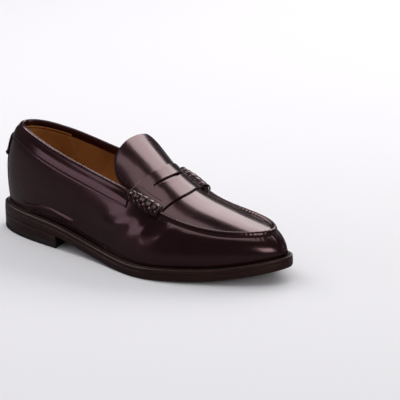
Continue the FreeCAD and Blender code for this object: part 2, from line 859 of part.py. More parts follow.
def make_slit(doc, last):
    """The slit's prism: two arcs that meet in points, bowed towards the toe."""
    size = last.size
    centre = (size.StrapRear + size.StrapFront) / 2
    middle = last.middle.at(centre)
    half = size.SlitLength / 2
    points, rear, front = (centre + n * size.SlitWidth / 3 for n in SLIT_ARC)
    ends = (Vector(points, middle - half, 0), Vector(points, middle + half, 0))
    loop = [
        Part.Arc(ends[0], Vector(front, middle, 0), ends[1]),
        Part.Arc(ends[1], Vector(rear, middle, 0), ends[0]),
    ]
    return plan_body(doc, "slit_prism", "Sizes.HeelTop", 0.0, [loop])


def tongue_loop(last, inset):
    """The tongue's plan: it flares a little to its end, which has round corners."""
    size = last.size
    middle = last.middle.at(size.StrapRear) + size.TongueShift
    root = size.TongueWidth / 2 - inset
    wide = root + size.TongueFlare
    front = size.StrapRear + size.TongueRoot - inset
    corner = size.TongueCorner - inset
    spot = math.sqrt(0.5) * corner

    def side(sign, tip):
        turn = Vector(tip + corner, middle + sign * wide, 0)
        bend = Vector(tip + corner - spot, middle + sign * (wide - corner + spot), 0)
        end = Vector(tip, middle + sign * (wide - corner), 0)
        return turn, bend, end
    tip = size.TongueTip + inset
    outer = side(-1, tip + size.TongueSkew / 2)
    inner = side(1, tip - size.TongueSkew / 2)
    low = Vector(front, middle - root, 0)
    high = Vector(front, middle + root, 0)
    return [
        Part.LineSegment(low, outer[0]),
        Part.Arc(*outer),
        Part.Arc(outer[2], Vector(tip - 1, middle, 0), inner[2]),
        Part.Arc(inner[2], inner[1], inner[0]),
        Part.LineSegment(inner[0], high),
        Part.LineSegment(high, low),
    ]


def make_tongue(doc, last):
    """The tongue and its lining, which lift about the strap's rear edge."""
    size = last.size
    span = (size.TongueTip - 2 * size.TongueSkew, size.StrapRear + size.TongueRoot + 1)
    pieces = []
    rows = (
        ("tongue", 0.0, 0.0, size.LeatherThickness),
        ("tongue_lining", 1.2, -size.LeatherThickness - size.GlueLine, size.LiningThickness),
    )
    for name, inset, offset, thickness in rows:
        skin = instep_sheet(doc, last, f"{name}_skin", span, offset, thickness)
        plan = plan_body(doc, f"{name}_plan", "Sizes.HeelTop * 1.2", 0.0, [tongue_loop(last, inset)])
        pieces.append(common(doc, name, skin, plan))
    return pieces


def check(doc, pieces):
    """Stops if any object failed or any piece's shape is missing or invalid."""
    for item in doc.Objects:
        if "Invalid" in item.State or "Error" in item.State:
            raise RuntimeError(f"{item.Name}: {item.State}")
    for piece in pieces:
        if piece.Shape.isNull() or not piece.Shape.isValid():
            raise RuntimeError(f"{piece.Label}: bad shape")
        if piece.Shape.Volume <= 0:
            raise RuntimeError(f"{piece.Label}: no volume")


def main():
    doc = FreeCAD.newDocument("PennyLoafer")
    size = make_sheet(doc)
    last = Last(size)
    pieces = [
        *make_sole(doc, last),
        *make_heel(doc, last),
        *make_sides(doc, last),
        *make_stiffeners(doc, last),
        *make_linings(doc, last),
        make_collar(doc, last),
        *make_back(doc, last),
        make_toe_seam(doc, last),
        make_moc_seam(doc, last),
        *make_wraps(doc, last),
        *make_apron(doc, last),
        *make_strap(doc, last),
        *make_tongue(doc, last),
    ]
    doc.recompute()
    check(doc, pieces)
    os.makedirs("parts", exist_ok=True)
    for piece in pieces:
        piece.Shape.exportStep(f"parts/{piece.Label}.step")
        box = piece.Shape.BoundBox
        print(f"{piece.Label:24s} {piece.Shape.Volume:10.1f} mm3, {len(piece.Shape.Solids)} solids, "
              f"x {box.XMin:.1f}..{box.XMax:.1f} y {box.YMin:.1f}..{box.YMax:.1f} "
              f"z {box.ZMin:.1f}..{box.ZMax:.1f}")


main()
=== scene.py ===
import logging
import math
from dataclasses import dataclass, field
from enum import Enum

import bmesh
import bpy
import numpy as np
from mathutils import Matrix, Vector, noise


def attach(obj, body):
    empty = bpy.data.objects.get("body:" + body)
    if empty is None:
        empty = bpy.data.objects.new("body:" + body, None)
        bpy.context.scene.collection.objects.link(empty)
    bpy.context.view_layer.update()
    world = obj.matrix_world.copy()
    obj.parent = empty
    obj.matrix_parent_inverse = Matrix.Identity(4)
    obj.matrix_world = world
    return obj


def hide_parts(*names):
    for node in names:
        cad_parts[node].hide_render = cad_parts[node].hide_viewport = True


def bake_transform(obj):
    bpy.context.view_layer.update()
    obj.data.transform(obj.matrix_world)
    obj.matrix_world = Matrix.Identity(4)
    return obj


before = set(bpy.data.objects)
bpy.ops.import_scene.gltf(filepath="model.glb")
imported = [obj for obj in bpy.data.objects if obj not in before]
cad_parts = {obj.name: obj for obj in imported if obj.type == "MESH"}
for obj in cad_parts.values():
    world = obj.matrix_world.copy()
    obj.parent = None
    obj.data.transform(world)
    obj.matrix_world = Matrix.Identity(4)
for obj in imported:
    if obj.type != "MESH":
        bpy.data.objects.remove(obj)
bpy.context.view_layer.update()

log = logging.getLogger("loafer")
MM = 0.001
TURN = 16.0  # the plan's parameter runs once round the shoe: 0 at the heel, 8 at the toe
TOE = 8.0


class Body(Enum):
    """The CAD bodies that pieces ride on."""

    SHOE = "shoe"
    TONGUE = "tongue_flap"


class Slot(Enum):
    """The record's material slots."""

    UPPER = "upper_leather"
    LINING = "lining_leather"
    SOLE = "sole_leather"
    INSOLE = "insole_leather"
    STIFFENER = "stiffener"
    TOP_PIECE = "top_piece_rubber"
    CORK = "cork"
    SHANK = "shank_steel"
    NAIL = "nail_brass"


class Side(Enum):
    """The two sides of the shoe: -1 faces out, +1 faces the other foot."""

    OUTER = -1
    INNER = 1


# ---------------------------------------------------------------- curves and the last


class Ring:
    """A smooth closed curve through evenly numbered stations."""

    def __init__(self, stations: list[tuple[float, ...]]) -> None:
        """Solves the curve's slopes.

        Args:
            stations: the points it passes through, in order.
        """
        self.points = np.array(stations, float)
        self.count = len(self.points)
        unit = np.eye(self.count)
        matrix = 4 * unit + np.roll(unit, 1, axis=1) + np.roll(unit, -1, axis=1)
        pull = 3 * (np.roll(self.points, -1, axis=0) - np.roll(self.points, 1, axis=0))
        self.slopes = np.linalg.solve(matrix, pull)

    def at(self, t: np.ndarray) -> np.ndarray:
        """Points of the curve.

        Args:
            t: parameters, of any shape.
        Returns:
            The points, one more axis long.
        """
        t = np.asarray(t, float)
        whole = np.floor(t).astype(int)
        f = (t - whole)[..., None]
        a = whole % self.count
        b = (whole + 1) % self.count
        rise = self.points[b] - self.points[a]
        bend = (self.slopes[a] - rise) * (1 - f) + (rise - self.slopes[b]) * f
        return self.points[a] + rise * f + bend * f * (1 - f)

    def outward(self, t: np.ndarray) -> np.ndarray:
        """The level direction out of the curve at each parameter."""
        step = 0.02
        run = self.at(np.asarray(t) + step) - self.at(np.asarray(t) - step)
        out = np.stack([run[..., 1], -run[..., 0], 0 * run[..., 0]], axis=-1)
        return unit_length(out)


class Profile:
    """A natural cubic spline: one value over another."""

    def __init__(self, stations: list[tuple[float, float]]) -> None:
        """Solves the spline's bends.

        Args:
            stations: pairs that it passes through, rising in the first value.
        """
        self.xs = np.array([x for x, _ in stations])
        self.ys = np.array([y for _, y in stations])
        gaps = np.diff(self.xs)
        count = len(stations)
        matrix = np.eye(count)
        pull = np.zeros(count)
        for i in range(1, count - 1):
            matrix[i, i - 1: i + 2] = (gaps[i - 1], 2 * (gaps[i - 1] + gaps[i]), gaps[i])
            rises = np.diff(self.ys[i - 1: i + 2]) / gaps[i - 1: i + 1]
            pull[i] = 6 * (rises[1] - rises[0])
        self.bends = np.linalg.solve(matrix, pull)

    def at(self, x: np.ndarray) -> np.ndarray:
        """The spline's values, carried on past its ends."""
        x = np.asarray(x, float)
        i = np.clip(np.searchsorted(self.xs, x) - 1, 0, len(self.xs) - 2)
        span = self.xs[i + 1] - self.xs[i]
        b = (x - self.xs[i]) / span
        a = 1 - b
        curve = (a**3 - a) * self.bends[i] + (b**3 - b) * self.bends[i + 1]
        return a * self.ys[i] + b * self.ys[i + 1] + curve * span**2 / 6


def unit_length(vectors: np.ndarray) -> np.ndarray:
    """Vectors of length one along their last axis."""
    return vectors / np.maximum(np.linalg.norm(vectors, axis=-1, keepdims=True), 1e-9)


def smooth_step(x: np.ndarray) -> np.ndarray:
    """An even ramp from 0 to 1."""
    x = np.clip(x, 0, 1)
    return x * x * (3 - 2 * x)


@dataclass
class Last:
    """The shape that every piece follows, in millimetres."""

    length: float = 300.0
    width: float = 112.8
    heel_height: float = 14.0
    outsole: float = 6.2
    welt: float = 4.0
    glue: float = 0.1
    feather: float = 5.8
    leather: float = 1.4
    stiffener: float = 1.1
    lining: float = 0.9
    heel_top: float = 96.8
    seat_top: float = 86.2
    waist_top: float = 75.2
    instep_ridge: float = 86.2
    instep_drop: float = 20.4
    ball_ridge: float = 62.6
    ball_drop: float = 10.6
    toe_ridge: float = 41.2
    toe_drop: float = 2.4
    ball_clearance: float = 0.05
    tongue_reach: float = 32.0
    tongue_middle: float = 0.071
    tongue_arch: float = 0.64
    toe_narrowing: float = 0.65
    arch_power: float = 2.5
    strap_rear: float = 18.0
    strap_front: float = 45.0
    # share of the length, then outer and inner half widths as shares of the width
    sole_plan: tuple = (
        (-0.413, -0.199, 0.306), (-0.267, -0.294, 0.325), (-0.100, -0.370, 0.290),
        (0.033, -0.466, 0.387), (0.167, -0.500, 0.498), (0.317, -0.348, 0.455),
        (0.433, -0.164, 0.299),
    )
    sole_tips: tuple = ((-0.5, 0.028), (0.5, 0.082))
    # share of the length, middle and half width as shares of the width
    edge_plan: tuple = (
        (-0.393, 0.028, 0.142), (-0.267, 0.028, 0.246), (-0.117, 0.030, 0.292),
        (0.033, 0.040, 0.351), (0.167, 0.011, 0.316), (0.293, 0.053, 0.277),
        (0.390, 0.082, 0.164),
    )
    edge_tips: tuple = ((-0.4433, 0.028), (0.4333, 0.090))
    # bulge past the foot, bulge past the edge, share of the height that the upper bulge takes
    bulges: tuple = (
        (3.5, 12.0, 0.28), (4.0, 9.0, 0.28), (5.0, 6.0, 0.28), (4.0, 8.0, 0.30),
        (2.5, 11.0, 0.20), (3.0, 9.0, 0.16), (3.0, 8.0, 0.14),
    )
    bulge_tips: tuple = ((3.0, 14.5, 0.28), (3.0, 8.0, 0.14))

    def __post_init__(self) -> None:
        """Builds the plan, the profiles and the upper edge from the stations."""
        long, wide, low = self.length, self.width, self.ball_clearance
        outer = [(x * long, a * wide, 0) for x, a, _ in self.sole_plan]
        inner = [(x * long, b * wide, 0) for x, _, b in self.sole_plan]
        tips = [(x * long, y * wide, 0) for x, y in self.sole_tips]
        self.plan = Ring([tips[0], *outer, tips[1], *inner[::-1]])
        self.under = Profile([
            (-0.5 * long, self.heel_height), (-0.365 * long, self.heel_height - 0.6),
            (-0.24 * long, self.heel_height - 2.5), (-0.07 * long, low + 3.4),
            (0.1 * long, low), (0.2 * long, low + 1.2), (0.333 * long, low + 3.7),
            (0.5 * long, low + 13.5),
        ])
        self.sole_top = self.outsole + self.glue + self.welt
        strap_x = self.edge_plan[3][0] * long
        ball_x = self.edge_plan[4][0] * long
        toe_x = self.edge_tips[1][0] * long
        tongue_x = strap_x - self.tongue_reach
        slope = (self.instep_ridge - self.ball_ridge) / (ball_x - strap_x)
        self.ridge = Profile([
            (tongue_x, self.instep_ridge + 1.19 * self.tongue_reach * slope),
            (strap_x, self.instep_ridge),
            (ball_x, self.ball_ridge),
            (ball_x + 0.37 * (toe_x - ball_x), 0.53 * self.ball_ridge + 0.47 * self.toe_ridge),
            (ball_x + 0.70 * (toe_x - ball_x), 0.22 * self.ball_ridge + 0.78 * self.toe_ridge),
            (toe_x + 8, self.toe_ridge - 1.8),
        ])
        front = self.edge_plan[3:]
        drops = (self.instep_drop, self.ball_drop,
                 0.62 * self.ball_drop + 0.2 * self.toe_drop, self.toe_drop)
        self.middle = Profile(
            [(tongue_x, self.tongue_middle * wide)] + [(x * long, y * wide) for x, y, _ in front])
        self.half = Profile(
            [(tongue_x, front[0][2] * wide)] + [(x * long, half * wide) for x, _, half in front]
            + [(toe_x, self.toe_narrowing * front[-1][2] * wide)])
        self.drop = Profile(
            [(tongue_x, self.tongue_arch * self.instep_drop)]
            + [(x * long, drop) for (x, _, _), drop in zip(front, drops)]
            + [(toe_x, self.toe_drop / 2)])
        tops = (self.heel_top - 1.6, self.seat_top, self.waist_top)
        sides = []
        for sign in (-1, 1):
            side = []
            for i, (x, y, half) in enumerate(self.edge_plan):
                place = (x * long, (y + sign * half) * wide)
                height = tops[i] if i < 3 else self.instep_height(*place)
                side.append((*place, float(height)))
            sides.append(side)
        toe = [share * size for share, size in zip(self.edge_tips[1], (long, wide))]
        heel = (self.edge_tips[0][0] * long, self.edge_tips[0][1] * wide, self.heel_top)
        self.edge = Ring([heel, *sides[0], (*toe, float(self.instep_height(*toe))),
                          *sides[1][::-1]])
        self.bulge = Ring([self.bulge_tips[0], *self.bulges, self.bulge_tips[1],
                           *self.bulges[::-1]])

    def instep_height(self, x: np.ndarray, y: np.ndarray) -> np.ndarray:
        """The height of the instep's upper surface over a plan point."""
        share = np.abs(np.asarray(y) - self.middle.at(x)) / self.half.at(x)
        return self.ridge.at(x) - np.maximum(self.drop.at(x), 0) * share**self.arch_power

    def on_instep(self, x: np.ndarray, y: np.ndarray, rise: np.ndarray = 0.0) -> np.ndarray:
        """Points over the instep, which the apron, strap and tongue follow."""
        x, y, rise = np.broadcast_arrays(x, y, rise)
        return np.stack([x, y, self.instep_height(x, y) + rise], axis=-1)

    def rim(self, t: np.ndarray, inset: np.ndarray) -> np.ndarray:
        """Points of the sole's outline, moved inwards, at height 0."""
        return self.plan.at(t) - self.plan.outward(t) * np.asarray(inset)[..., None]

    def wall(self, t: np.ndarray, v: np.ndarray) -> np.ndarray:
        """The upper's side: v = 0 on the welt, v = 1 at the topline or apron seam."""
        t, v = np.broadcast_arrays(np.asarray(t, float), np.asarray(v, float))
        out = self.plan.outward(t)
        foot = self.rim(t, np.full(t.shape, self.feather))
        foot[..., 2] = self.under.at(foot[..., 0]) + self.sole_top + self.glue
        top = self.edge.at(t)
        rise = top[..., 2:] - foot[..., 2:]
        bulge = self.bulge.at(t)
        up = np.array([0, 0, 1.0])
        knee = foot + out * bulge[..., 0:1] + up * 0.3 * rise
        shoulder = top + out * bulge[..., 1:2] - up * bulge[..., 2:3] * rise
        v = v[..., None]
        w = 1 - v
        return foot * w**3 + knee * 3 * v * w**2 + shoulder * 3 * v**2 * w + top * v**3

    def facing(self, t: np.ndarray, v: np.ndarray) -> np.ndarray:
        """The wall's outward direction."""
        step = 0.01
        t, v = np.broadcast_arrays(np.asarray(t, float), np.asarray(v, float))
        along = self.wall(t + step, v) - self.wall(t - step, v)
        upward = self.wall(t, np.minimum(v + step, 1)) - self.wall(t, v - step)
        return unit_length(np.cross(along, upward))

    def on_wall(self, t: np.ndarray, v: np.ndarray, rise: np.ndarray) -> np.ndarray:
        """Points at a distance off the wall."""
        return self.wall(t, v) + self.facing(t, v) * np.asarray(rise, float)[..., None]

    def below_edge(self, t: np.ndarray, distance: float) -> np.ndarray:
        """The v at a distance down the wall from its edge, for each t."""
        levels = np.linspace(1, 0, 121)
        t = np.atleast_1d(np.asarray(t, float))
        line = self.wall(t[:, None], levels[None, :])
        run = np.linalg.norm(np.diff(line, axis=1), axis=-1).cumsum(axis=1)
        run = np.concatenate([np.zeros((len(t), 1)), run], axis=1)
        return np.array([np.interp(distance, r, levels) for r in run])

    def t_at(self, ring: Ring, x: float, start: float, end: float) -> float:
        """The parameter where a ring passes a given length."""
        ts = np.linspace(start, end, 801)
        xs = ring.at(ts)[:, 0]
        order = np.argsort(xs)
        return float(np.interp(x, xs[order], ts[order]))

    def edge_y(self, x: np.ndarray, side: Side) -> np.ndarray:
        """How far out the upper edge lies at a given length, on one side."""
        ts = np.linspace(0.5, 7.9, 600)
        ts = ts if side is Side.OUTER else TURN - ts
        points = self.edge.at(ts)
        return np.interp(x, points[:, 0], points[:, 1])


LAST = Last()


# ---------------------------------------------------------------- meshes


def value_noise(points: np.ndarray, size: float, seed: float) -> np.ndarray:
    """Smooth noise of about -1 to 1 over points in millimetres.

    Args:
        points: the places, last axis xyz.
        size: how far apart its bumps are.
        seed: shifts the pattern.
    Returns:
        One value for each point.
    """
    flat = points.reshape(-1, 3) / size + seed
    values = np.array([noise.noise(Vector(p)) for p in flat])
    return values.reshape(points.shape[:-1])


def spaced(start: float, end: float, count: int) -> np.ndarray:
    """Evenly spaced values, both ends included."""
    return np.linspace(start, end, count)


@dataclass
class Surface:
    """A mesh in the making: vertices in millimetres, quads and a map of each corner."""

    points: list = field(default_factory=list)
    faces: list = field(default_factory=list)
    corners: list = field(default_factory=list)
    total: int = 0

    def add_grid(self, grid: np.ndarray, wrap_rows: bool = False, wrap_columns: bool = False,
                 flip: bool = False) -> np.ndarray:
        """Adds a grid of quads.

        Args:
            grid: points, rows by columns by xyz.
            wrap_rows: joins the last row to the first.
            wrap_columns: joins the last column to the first.
            flip: turns the faces over.
        Returns:
            The index of each vertex, rows by columns.
        """
        rows, columns = grid.shape[:2]
        index = np.arange(rows * columns).reshape(rows, columns) + self.total
        self.points.append(grid.reshape(-1, 3))
        self.total += rows * columns
        middle_row = grid[rows // 2]
        middle_column = grid[:, columns // 2]
        across = np.r_[0, np.linalg.norm(np.diff(middle_row, axis=0), axis=1).cumsum()] * MM
        along = np.r_[0, np.linalg.norm(np.diff(middle_column, axis=0), axis=1).cumsum()] * MM
        along = np.r_[along, along[-1] + 2 * MM]
        across = np.r_[across, across[-1] + 2 * MM]
        for i in range(rows if wrap_rows else rows - 1):
            for j in range(columns if wrap_columns else columns - 1):
                n, m = (i + 1) % rows, (j + 1) % columns
                quad = [index[i, j], index[n, j], index[n, m], index[i, m]]
                uv = [(along[i], across[j]), (along[i + 1], across[j]),
                      (along[i + 1], across[j + 1]), (along[i], across[j + 1])]
                self.faces.append(quad[::-1] if flip else quad)
                self.corners.append(uv[::-1] if flip else uv)
        return index

    def bridge(self, first: np.ndarray, second: np.ndarray) -> None:
        """Joins two equally long runs of vertices with quads."""
        for i in range(len(first) - 1):
            self.faces.append([first[i], first[i + 1], second[i + 1], second[i]])
            self.corners.append([(0, 0), (0, MM), (MM, MM), (MM, 0)])

    def make(self, name: str) -> bpy.types.Object:
        """Makes the object: doubles merged, faces outwards, shaded smooth.

        Args:
            name: the piece's name.
        Returns:
            The new object.
        """
        mesh = bpy.data.meshes.new(name)
        points = np.concatenate(self.points) * MM
        mesh.from_pydata(points.tolist(), [], [[int(k) for k in face] for face in self.faces])
        uv = mesh.uv_layers.new(name="leather")
        uv.data.foreach_set("uv", np.array(self.corners, float).reshape(-1))
        piece = bpy.data.objects.new(name, mesh)
        bpy.context.scene.collection.objects.link(piece)
        tidy_mesh(mesh)
        return piece


def tidy_mesh(mesh: bpy.types.Mesh) -> None:
    """Merges doubles, drops empty faces, turns faces outwards and shades them smooth."""
    work = bmesh.new()
    work.from_mesh(mesh)
    bmesh.ops.remove_doubles(work, verts=work.verts, dist=0.00001)
    bmesh.ops.dissolve_degenerate(work, edges=work.edges, dist=0.000005)
    bmesh.ops.recalc_face_normals(work, faces=work.faces)
    for face in work.faces:
        face.smooth = True
    work.to_mesh(mesh)
    work.free()


def sheet_between(name: str, over: np.ndarray, below: np.ndarray) -> bpy.types.Object:
    """A closed sheet between two grids of the same shape."""
    surface = Surface()
    top = surface.add_grid(over)
    low = surface.add_grid(below, flip=True)
    for side in (np.s_[0, :], np.s_[-1, :], np.s_[:, 0], np.s_[:, -1]):
        surface.bridge(top[side], low[side])
    return surface.make(name)


def ring_tube(name: str, grid: np.ndarray) -> bpy.types.Object:
    """A closed band whose section and path both run round."""
    surface = Surface()
    surface.add_grid(grid, wrap_rows=True, wrap_columns=True)
    return surface.make(name)


def bar(name: str, grid: np.ndarray) -> bpy.types.Object:
    """A bar with a closed section, capped at both ends by a shrunk copy of its section."""
    ends = []
    for section, step in ((grid[0], -0.25), (grid[-1], 0.25)):
        middle = section.mean(axis=0)
        run = grid[1].mean(axis=0) - grid[0].mean(axis=0)
        run = unit_length(run if step < 0 else grid[-1].mean(axis=0) - grid[-2].mean(axis=0))
        ends.append([middle + (section - middle) * share + run * step * lift
                     for share, lift in ((0.7, 0.7), (0.3, 1.0), (0.02, 1.1))])
    rows = [*ends[0][::-1], *grid, *ends[1]]
    surface = Surface()
    surface.add_grid(np.array(rows), wrap_columns=True)
    return surface.make(name)


def bevel(piece: bpy.types.Object, width: float, segments: int = 2, angle: float = 50) -> None:
    """Rounds a piece's sharp edges and keeps the result.

    Args:
        piece: the object.
        width: in millimetres.
        segments: faces across the round.
        angle: the least turn that is rounded, in degrees.
    """
    modifier = piece.modifiers.new("round", "BEVEL")
    modifier.width = width * MM
    modifier.segments = segments
    modifier.limit_method = "ANGLE"
    modifier.angle_limit = math.radians(angle)
    modifier.use_clamp_overlap = True
    bake_modifiers(piece)


def bake_modifiers(piece: bpy.types.Object) -> None:
    """Replaces a piece's mesh by what its modifiers make of it."""
    bpy.context.view_layer.update()
    graph = bpy.context.evaluated_depsgraph_get()
    mesh = bpy.data.meshes.new_from_object(piece.evaluated_get(graph))
    piece.modifiers.clear()
    if piece.type == "MESH":
        piece.data = mesh
    for polygon in mesh.polygons:
        polygon.use_smooth = True


# ---------------------------------------------------------------- rows of stitches


@dataclass
class StitchRow:
    """One row of sewing, laid along a line by Geometry Nodes."""

    name: str
    line: np.ndarray
    spacing: float = 3.0
    length: float = 2.2
    thickness: float = 0.55
    closed: bool = False

    @staticmethod
    def tree() -> bpy.types.NodeTree:
        """The node tree that all rows share: stitches placed evenly along a curve."""
        known = bpy.data.node_groups.get("stitch_row")
        if known:
            return known
        tree = bpy.data.node_groups.new("stitch_row", "GeometryNodeTree")
        face = tree.interface
        face.new_socket("Line", in_out="INPUT", socket_type="NodeSocketGeometry")
        for label in ("Spacing", "Length", "Thickness"):
            face.new_socket(label, in_out="INPUT", socket_type="NodeSocketFloat")
        face.new_socket("Thread", in_out="INPUT", socket_type="NodeSocketMaterial")
        face.new_socket("Stitches", in_out="OUTPUT", socket_type="NodeSocketGeometry")
        add = tree.nodes.new
        link = tree.links.new
        entry = add("NodeGroupInput")
        exit_node = add("NodeGroupOutput")
        curve = add("GeometryNodeMeshToCurve")
        points = add("GeometryNodeCurveToPoints")
        points.mode = "LENGTH"
        ball = add("GeometryNodeMeshUVSphere")
        ball.inputs["Segments"].default_value = 8
        ball.inputs["Rings"].default_value = 6
        ball.inputs["Radius"].default_value = 0.5
        size = add("ShaderNodeCombineXYZ")
        spot = add("GeometryNodeInstanceOnPoints")
        real = add("GeometryNodeRealizeInstances")
        smooth = add("GeometryNodeSetShadeSmooth")
        dress = add("GeometryNodeSetMaterial")
        link(entry.outputs["Line"], curve.inputs["Mesh"])
        link(curve.outputs["Curve"], points.inputs["Curve"])
        link(entry.outputs["Spacing"], points.inputs["Length"])
        link(entry.outputs["Thickness"], size.inputs["X"])
        link(entry.outputs["Thickness"], size.inputs["Y"])
        link(entry.outputs["Length"], size.inputs["Z"])
        link(points.outputs["Points"], spot.inputs["Points"])
        link(points.outputs["Rotation"], spot.inputs["Rotation"])
        link(ball.outputs["Mesh"], spot.inputs["Instance"])
        link(size.outputs["Vector"], spot.inputs["Scale"])
        link(spot.outputs["Instances"], real.inputs["Geometry"])
        link(real.outputs["Geometry"], smooth.inputs["Geometry"])
        link(smooth.outputs["Geometry"], dress.inputs["Geometry"])
        link(entry.outputs["Thread"], dress.inputs["Material"])
        link(dress.outputs["Geometry"], exit_node.inputs["Stitches"])
        return tree

    def build(self, thread: bpy.types.Material) -> bpy.types.Object:
        """Sews the row.

        Args:
            thread: the stitches' material.
        Returns:
            One mesh that holds all the stitches.
        """
        count = len(self.line)
        edges = [(i, i + 1) for i in range(count - 1)]
        if self.closed:
            edges.append((count - 1, 0))
        mesh = bpy.data.meshes.new(self.name)
        mesh.from_pydata((self.line * MM).tolist(), edges, [])
        piece = bpy.data.objects.new(self.name, mesh)
        bpy.context.scene.collection.objects.link(piece)
        tree = self.tree()
        sockets = {item.name: item.identifier for item in tree.interface.items_tree}
        modifier = piece.modifiers.new("sewing", "NODES")
        modifier.node_group = tree
        modifier[sockets["Spacing"]] = self.spacing * MM
        modifier[sockets["Length"]] = self.length * MM
        modifier[sockets["Thickness"]] = self.thickness * MM
        modifier[sockets["Thread"]] = thread
        bake_modifiers(piece)
        return piece


# ---------------------------------------------------------------- finishes


class Nodes:
    """A short way to write a node tree."""

    def __init__(self, tree: bpy.types.NodeTree) -> None:
        """Works on one tree.

        Args:
            tree: the tree to add nodes to.
        """
        self.tree = tree

    def add(self, kind: str, inputs: dict | None = None, **settings: object) -> bpy.types.Node:
        """Adds a node.

        Args:
            kind: the node's type.
            inputs: values or sockets for its inputs, by name or number.
            settings: its own properties.
        Returns:
            The node.
        """
        node = self.tree.nodes.new(kind)
        for key, value in settings.items():
            setattr(node, key, value)
        for key, value in (inputs or {}).items():
            if isinstance(value, bpy.types.NodeSocket):
                self.tree.links.new(value, node.inputs[key])
            else:
                node.inputs[key].default_value = value
        return node

    def noise(self, place: object, scale: float, detail: float = 3.0,
              roughness: float = 0.55) -> bpy.types.NodeSocket:
        """A noise pattern's value."""
        node = self.add("ShaderNodeTexNoise", {
            "Vector": place, "Scale": scale, "Detail": detail, "Roughness": roughness})
        return node.outputs["Fac"]

    def ramp(self, value: object, low: float, high: float, out_low: float = 0.0,
             out_high: float = 1.0) -> bpy.types.NodeSocket:
        """Stretches a value's range to another."""
        node = self.add("ShaderNodeMapRange", {
            "Value": value, "From Min": low, "From Max": high, "To Min": out_low,
            "To Max": out_high})
        return node.outputs["Result"]

    def blend(self, share: object, first: object, second: object) -> bpy.types.NodeSocket:
        """Mixes two colours."""
        node = self.add("ShaderNodeMix", data_type="RGBA")
        for socket, value in ((node.inputs[0], share), (node.inputs[6], first),
                              (node.inputs[7], second)):
            if isinstance(value, bpy.types.NodeSocket):
                self.tree.links.new(value, socket)
            else:
                socket.default_value = value
        return node.outputs[2]

    def math(self, kind: str, first: object, second: object = 0.0) -> bpy.types.NodeSocket:
        """A sum, product or other operation on two values."""
        return self.add("ShaderNodeMath", {0: first, 1: second}, operation=kind).outputs[0]


def rgb(red: float, green: float, blue: float) -> tuple[float, float, float, float]:
    """A full colour from its three parts."""
    return (red, green, blue, 1.0)


def hide_grain() -> bpy.types.NodeTree:
    """The grain that all leathers share: pores, fine creases and a slow unevenness.

    Returns:
        A group with a Height for bumps, a Mottle mask and a Crease mask; the leathers paint the
        creases darker with it, as grain tone and as painted shade.
    """
    known = bpy.data.node_groups.get("hide_grain")
    if known:
        return known
    tree = bpy.data.node_groups.new("hide_grain", "ShaderNodeTree")
    face = tree.interface
    face.new_socket("Pore Scale", in_out="INPUT", socket_type="NodeSocketFloat")
    face.new_socket("Crease Scale", in_out="INPUT", socket_type="NodeSocketFloat")
    for label in ("Height", "Mottle", "Crease"):
        face.new_socket(label, in_out="OUTPUT", socket_type="NodeSocketFloat")
    nodes = Nodes(tree)
    entry = nodes.add("NodeGroupInput")
    place = nodes.add("ShaderNodeTexCoord").outputs["Object"]
    pores = nodes.add("ShaderNodeTexVoronoi", {
        "Vector": place, "Scale": entry.outputs["Pore Scale"], "Randomness": 1.0},
        feature="F1")
    warped = nodes.add("ShaderNodeTexNoise", {
        "Vector": place, "Scale": entry.outputs["Crease Scale"], "Detail": 5.0,
        "Roughness": 0.6, "Distortion": 0.8})
    crease = nodes.ramp(nodes.math("ABSOLUTE", nodes.math(
        "SUBTRACT", warped.outputs["Fac"], 0.5)), 0.0, 0.035)
    slow = nodes.noise(place, 28.0, 4.0)
    height = nodes.math("ADD", nodes.math("MULTIPLY", pores.outputs["Distance"], 0.55),
                        nodes.math("MULTIPLY", crease, 0.35))
    exit_node = nodes.add("NodeGroupOutput")
    tree.links.new(height, exit_node.inputs["Height"])
    tree.links.new(nodes.ramp(slow, 0.35, 0.68), exit_node.inputs["Mottle"])
    tree.links.new(nodes.ramp(crease, 0.0, 1.0, 1.0, 0.0), exit_node.inputs["Crease"])
    return tree


def edge_wear_and_highlight() -> bpy.types.NodeTree:
    """Marks the sharp convex edges that are painted lighter: from rubbing, and as a painted
    highlight.

    Returns:
        A group with one mask of those edges, broken up by noise.
    """
    known = bpy.data.node_groups.get("edge_wear_and_highlight")
    if known:
        return known
    tree = bpy.data.node_groups.new("edge_wear_and_highlight", "ShaderNodeTree")
    face = tree.interface
    face.new_socket("Amount", in_out="INPUT", socket_type="NodeSocketFloat")
    face.new_socket("Wear And Highlight", in_out="OUTPUT", socket_type="NodeSocketFloat")
    nodes = Nodes(tree)
    entry = nodes.add("NodeGroupInput")
    point = nodes.add("ShaderNodeNewGeometry").outputs["Pointiness"]
    place = nodes.add("ShaderNodeTexCoord").outputs["Object"]
    edge = nodes.ramp(point, 0.52, 0.62)
    broken = nodes.ramp(nodes.noise(place, 160.0, 4.0), 0.35, 0.7)
    exit_node = nodes.add("NodeGroupOutput")
    wear_and_highlight = nodes.math("MULTIPLY", nodes.math("MULTIPLY", edge, broken), entry.outputs["Amount"])
    tree.links.new(wear_and_highlight, exit_node.inputs["Wear And Highlight"])
    return tree


@dataclass(frozen=True)
class Finish:
    """A material that can be asked for any number of times and is made once."""

    name: str
    slot: Slot

    def build(self) -> bpy.types.Material:
        """Makes the material, or gives the one already made."""
        known = bpy.data.materials.get(self.name)
        if known:
            return known
        material = bpy.data.materials.new(self.name)
        material.use_nodes = True
        self.paint(Nodes(material.node_tree), material.node_tree.nodes["Principled BSDF"])
        return material

    def paint(self, nodes: Nodes, shader: bpy.types.Node) -> None:
        """Adds the finish's own nodes.

        Args:
            nodes: the material's tree.
            shader: its Principled shader.
        """
        raise NotImplementedError


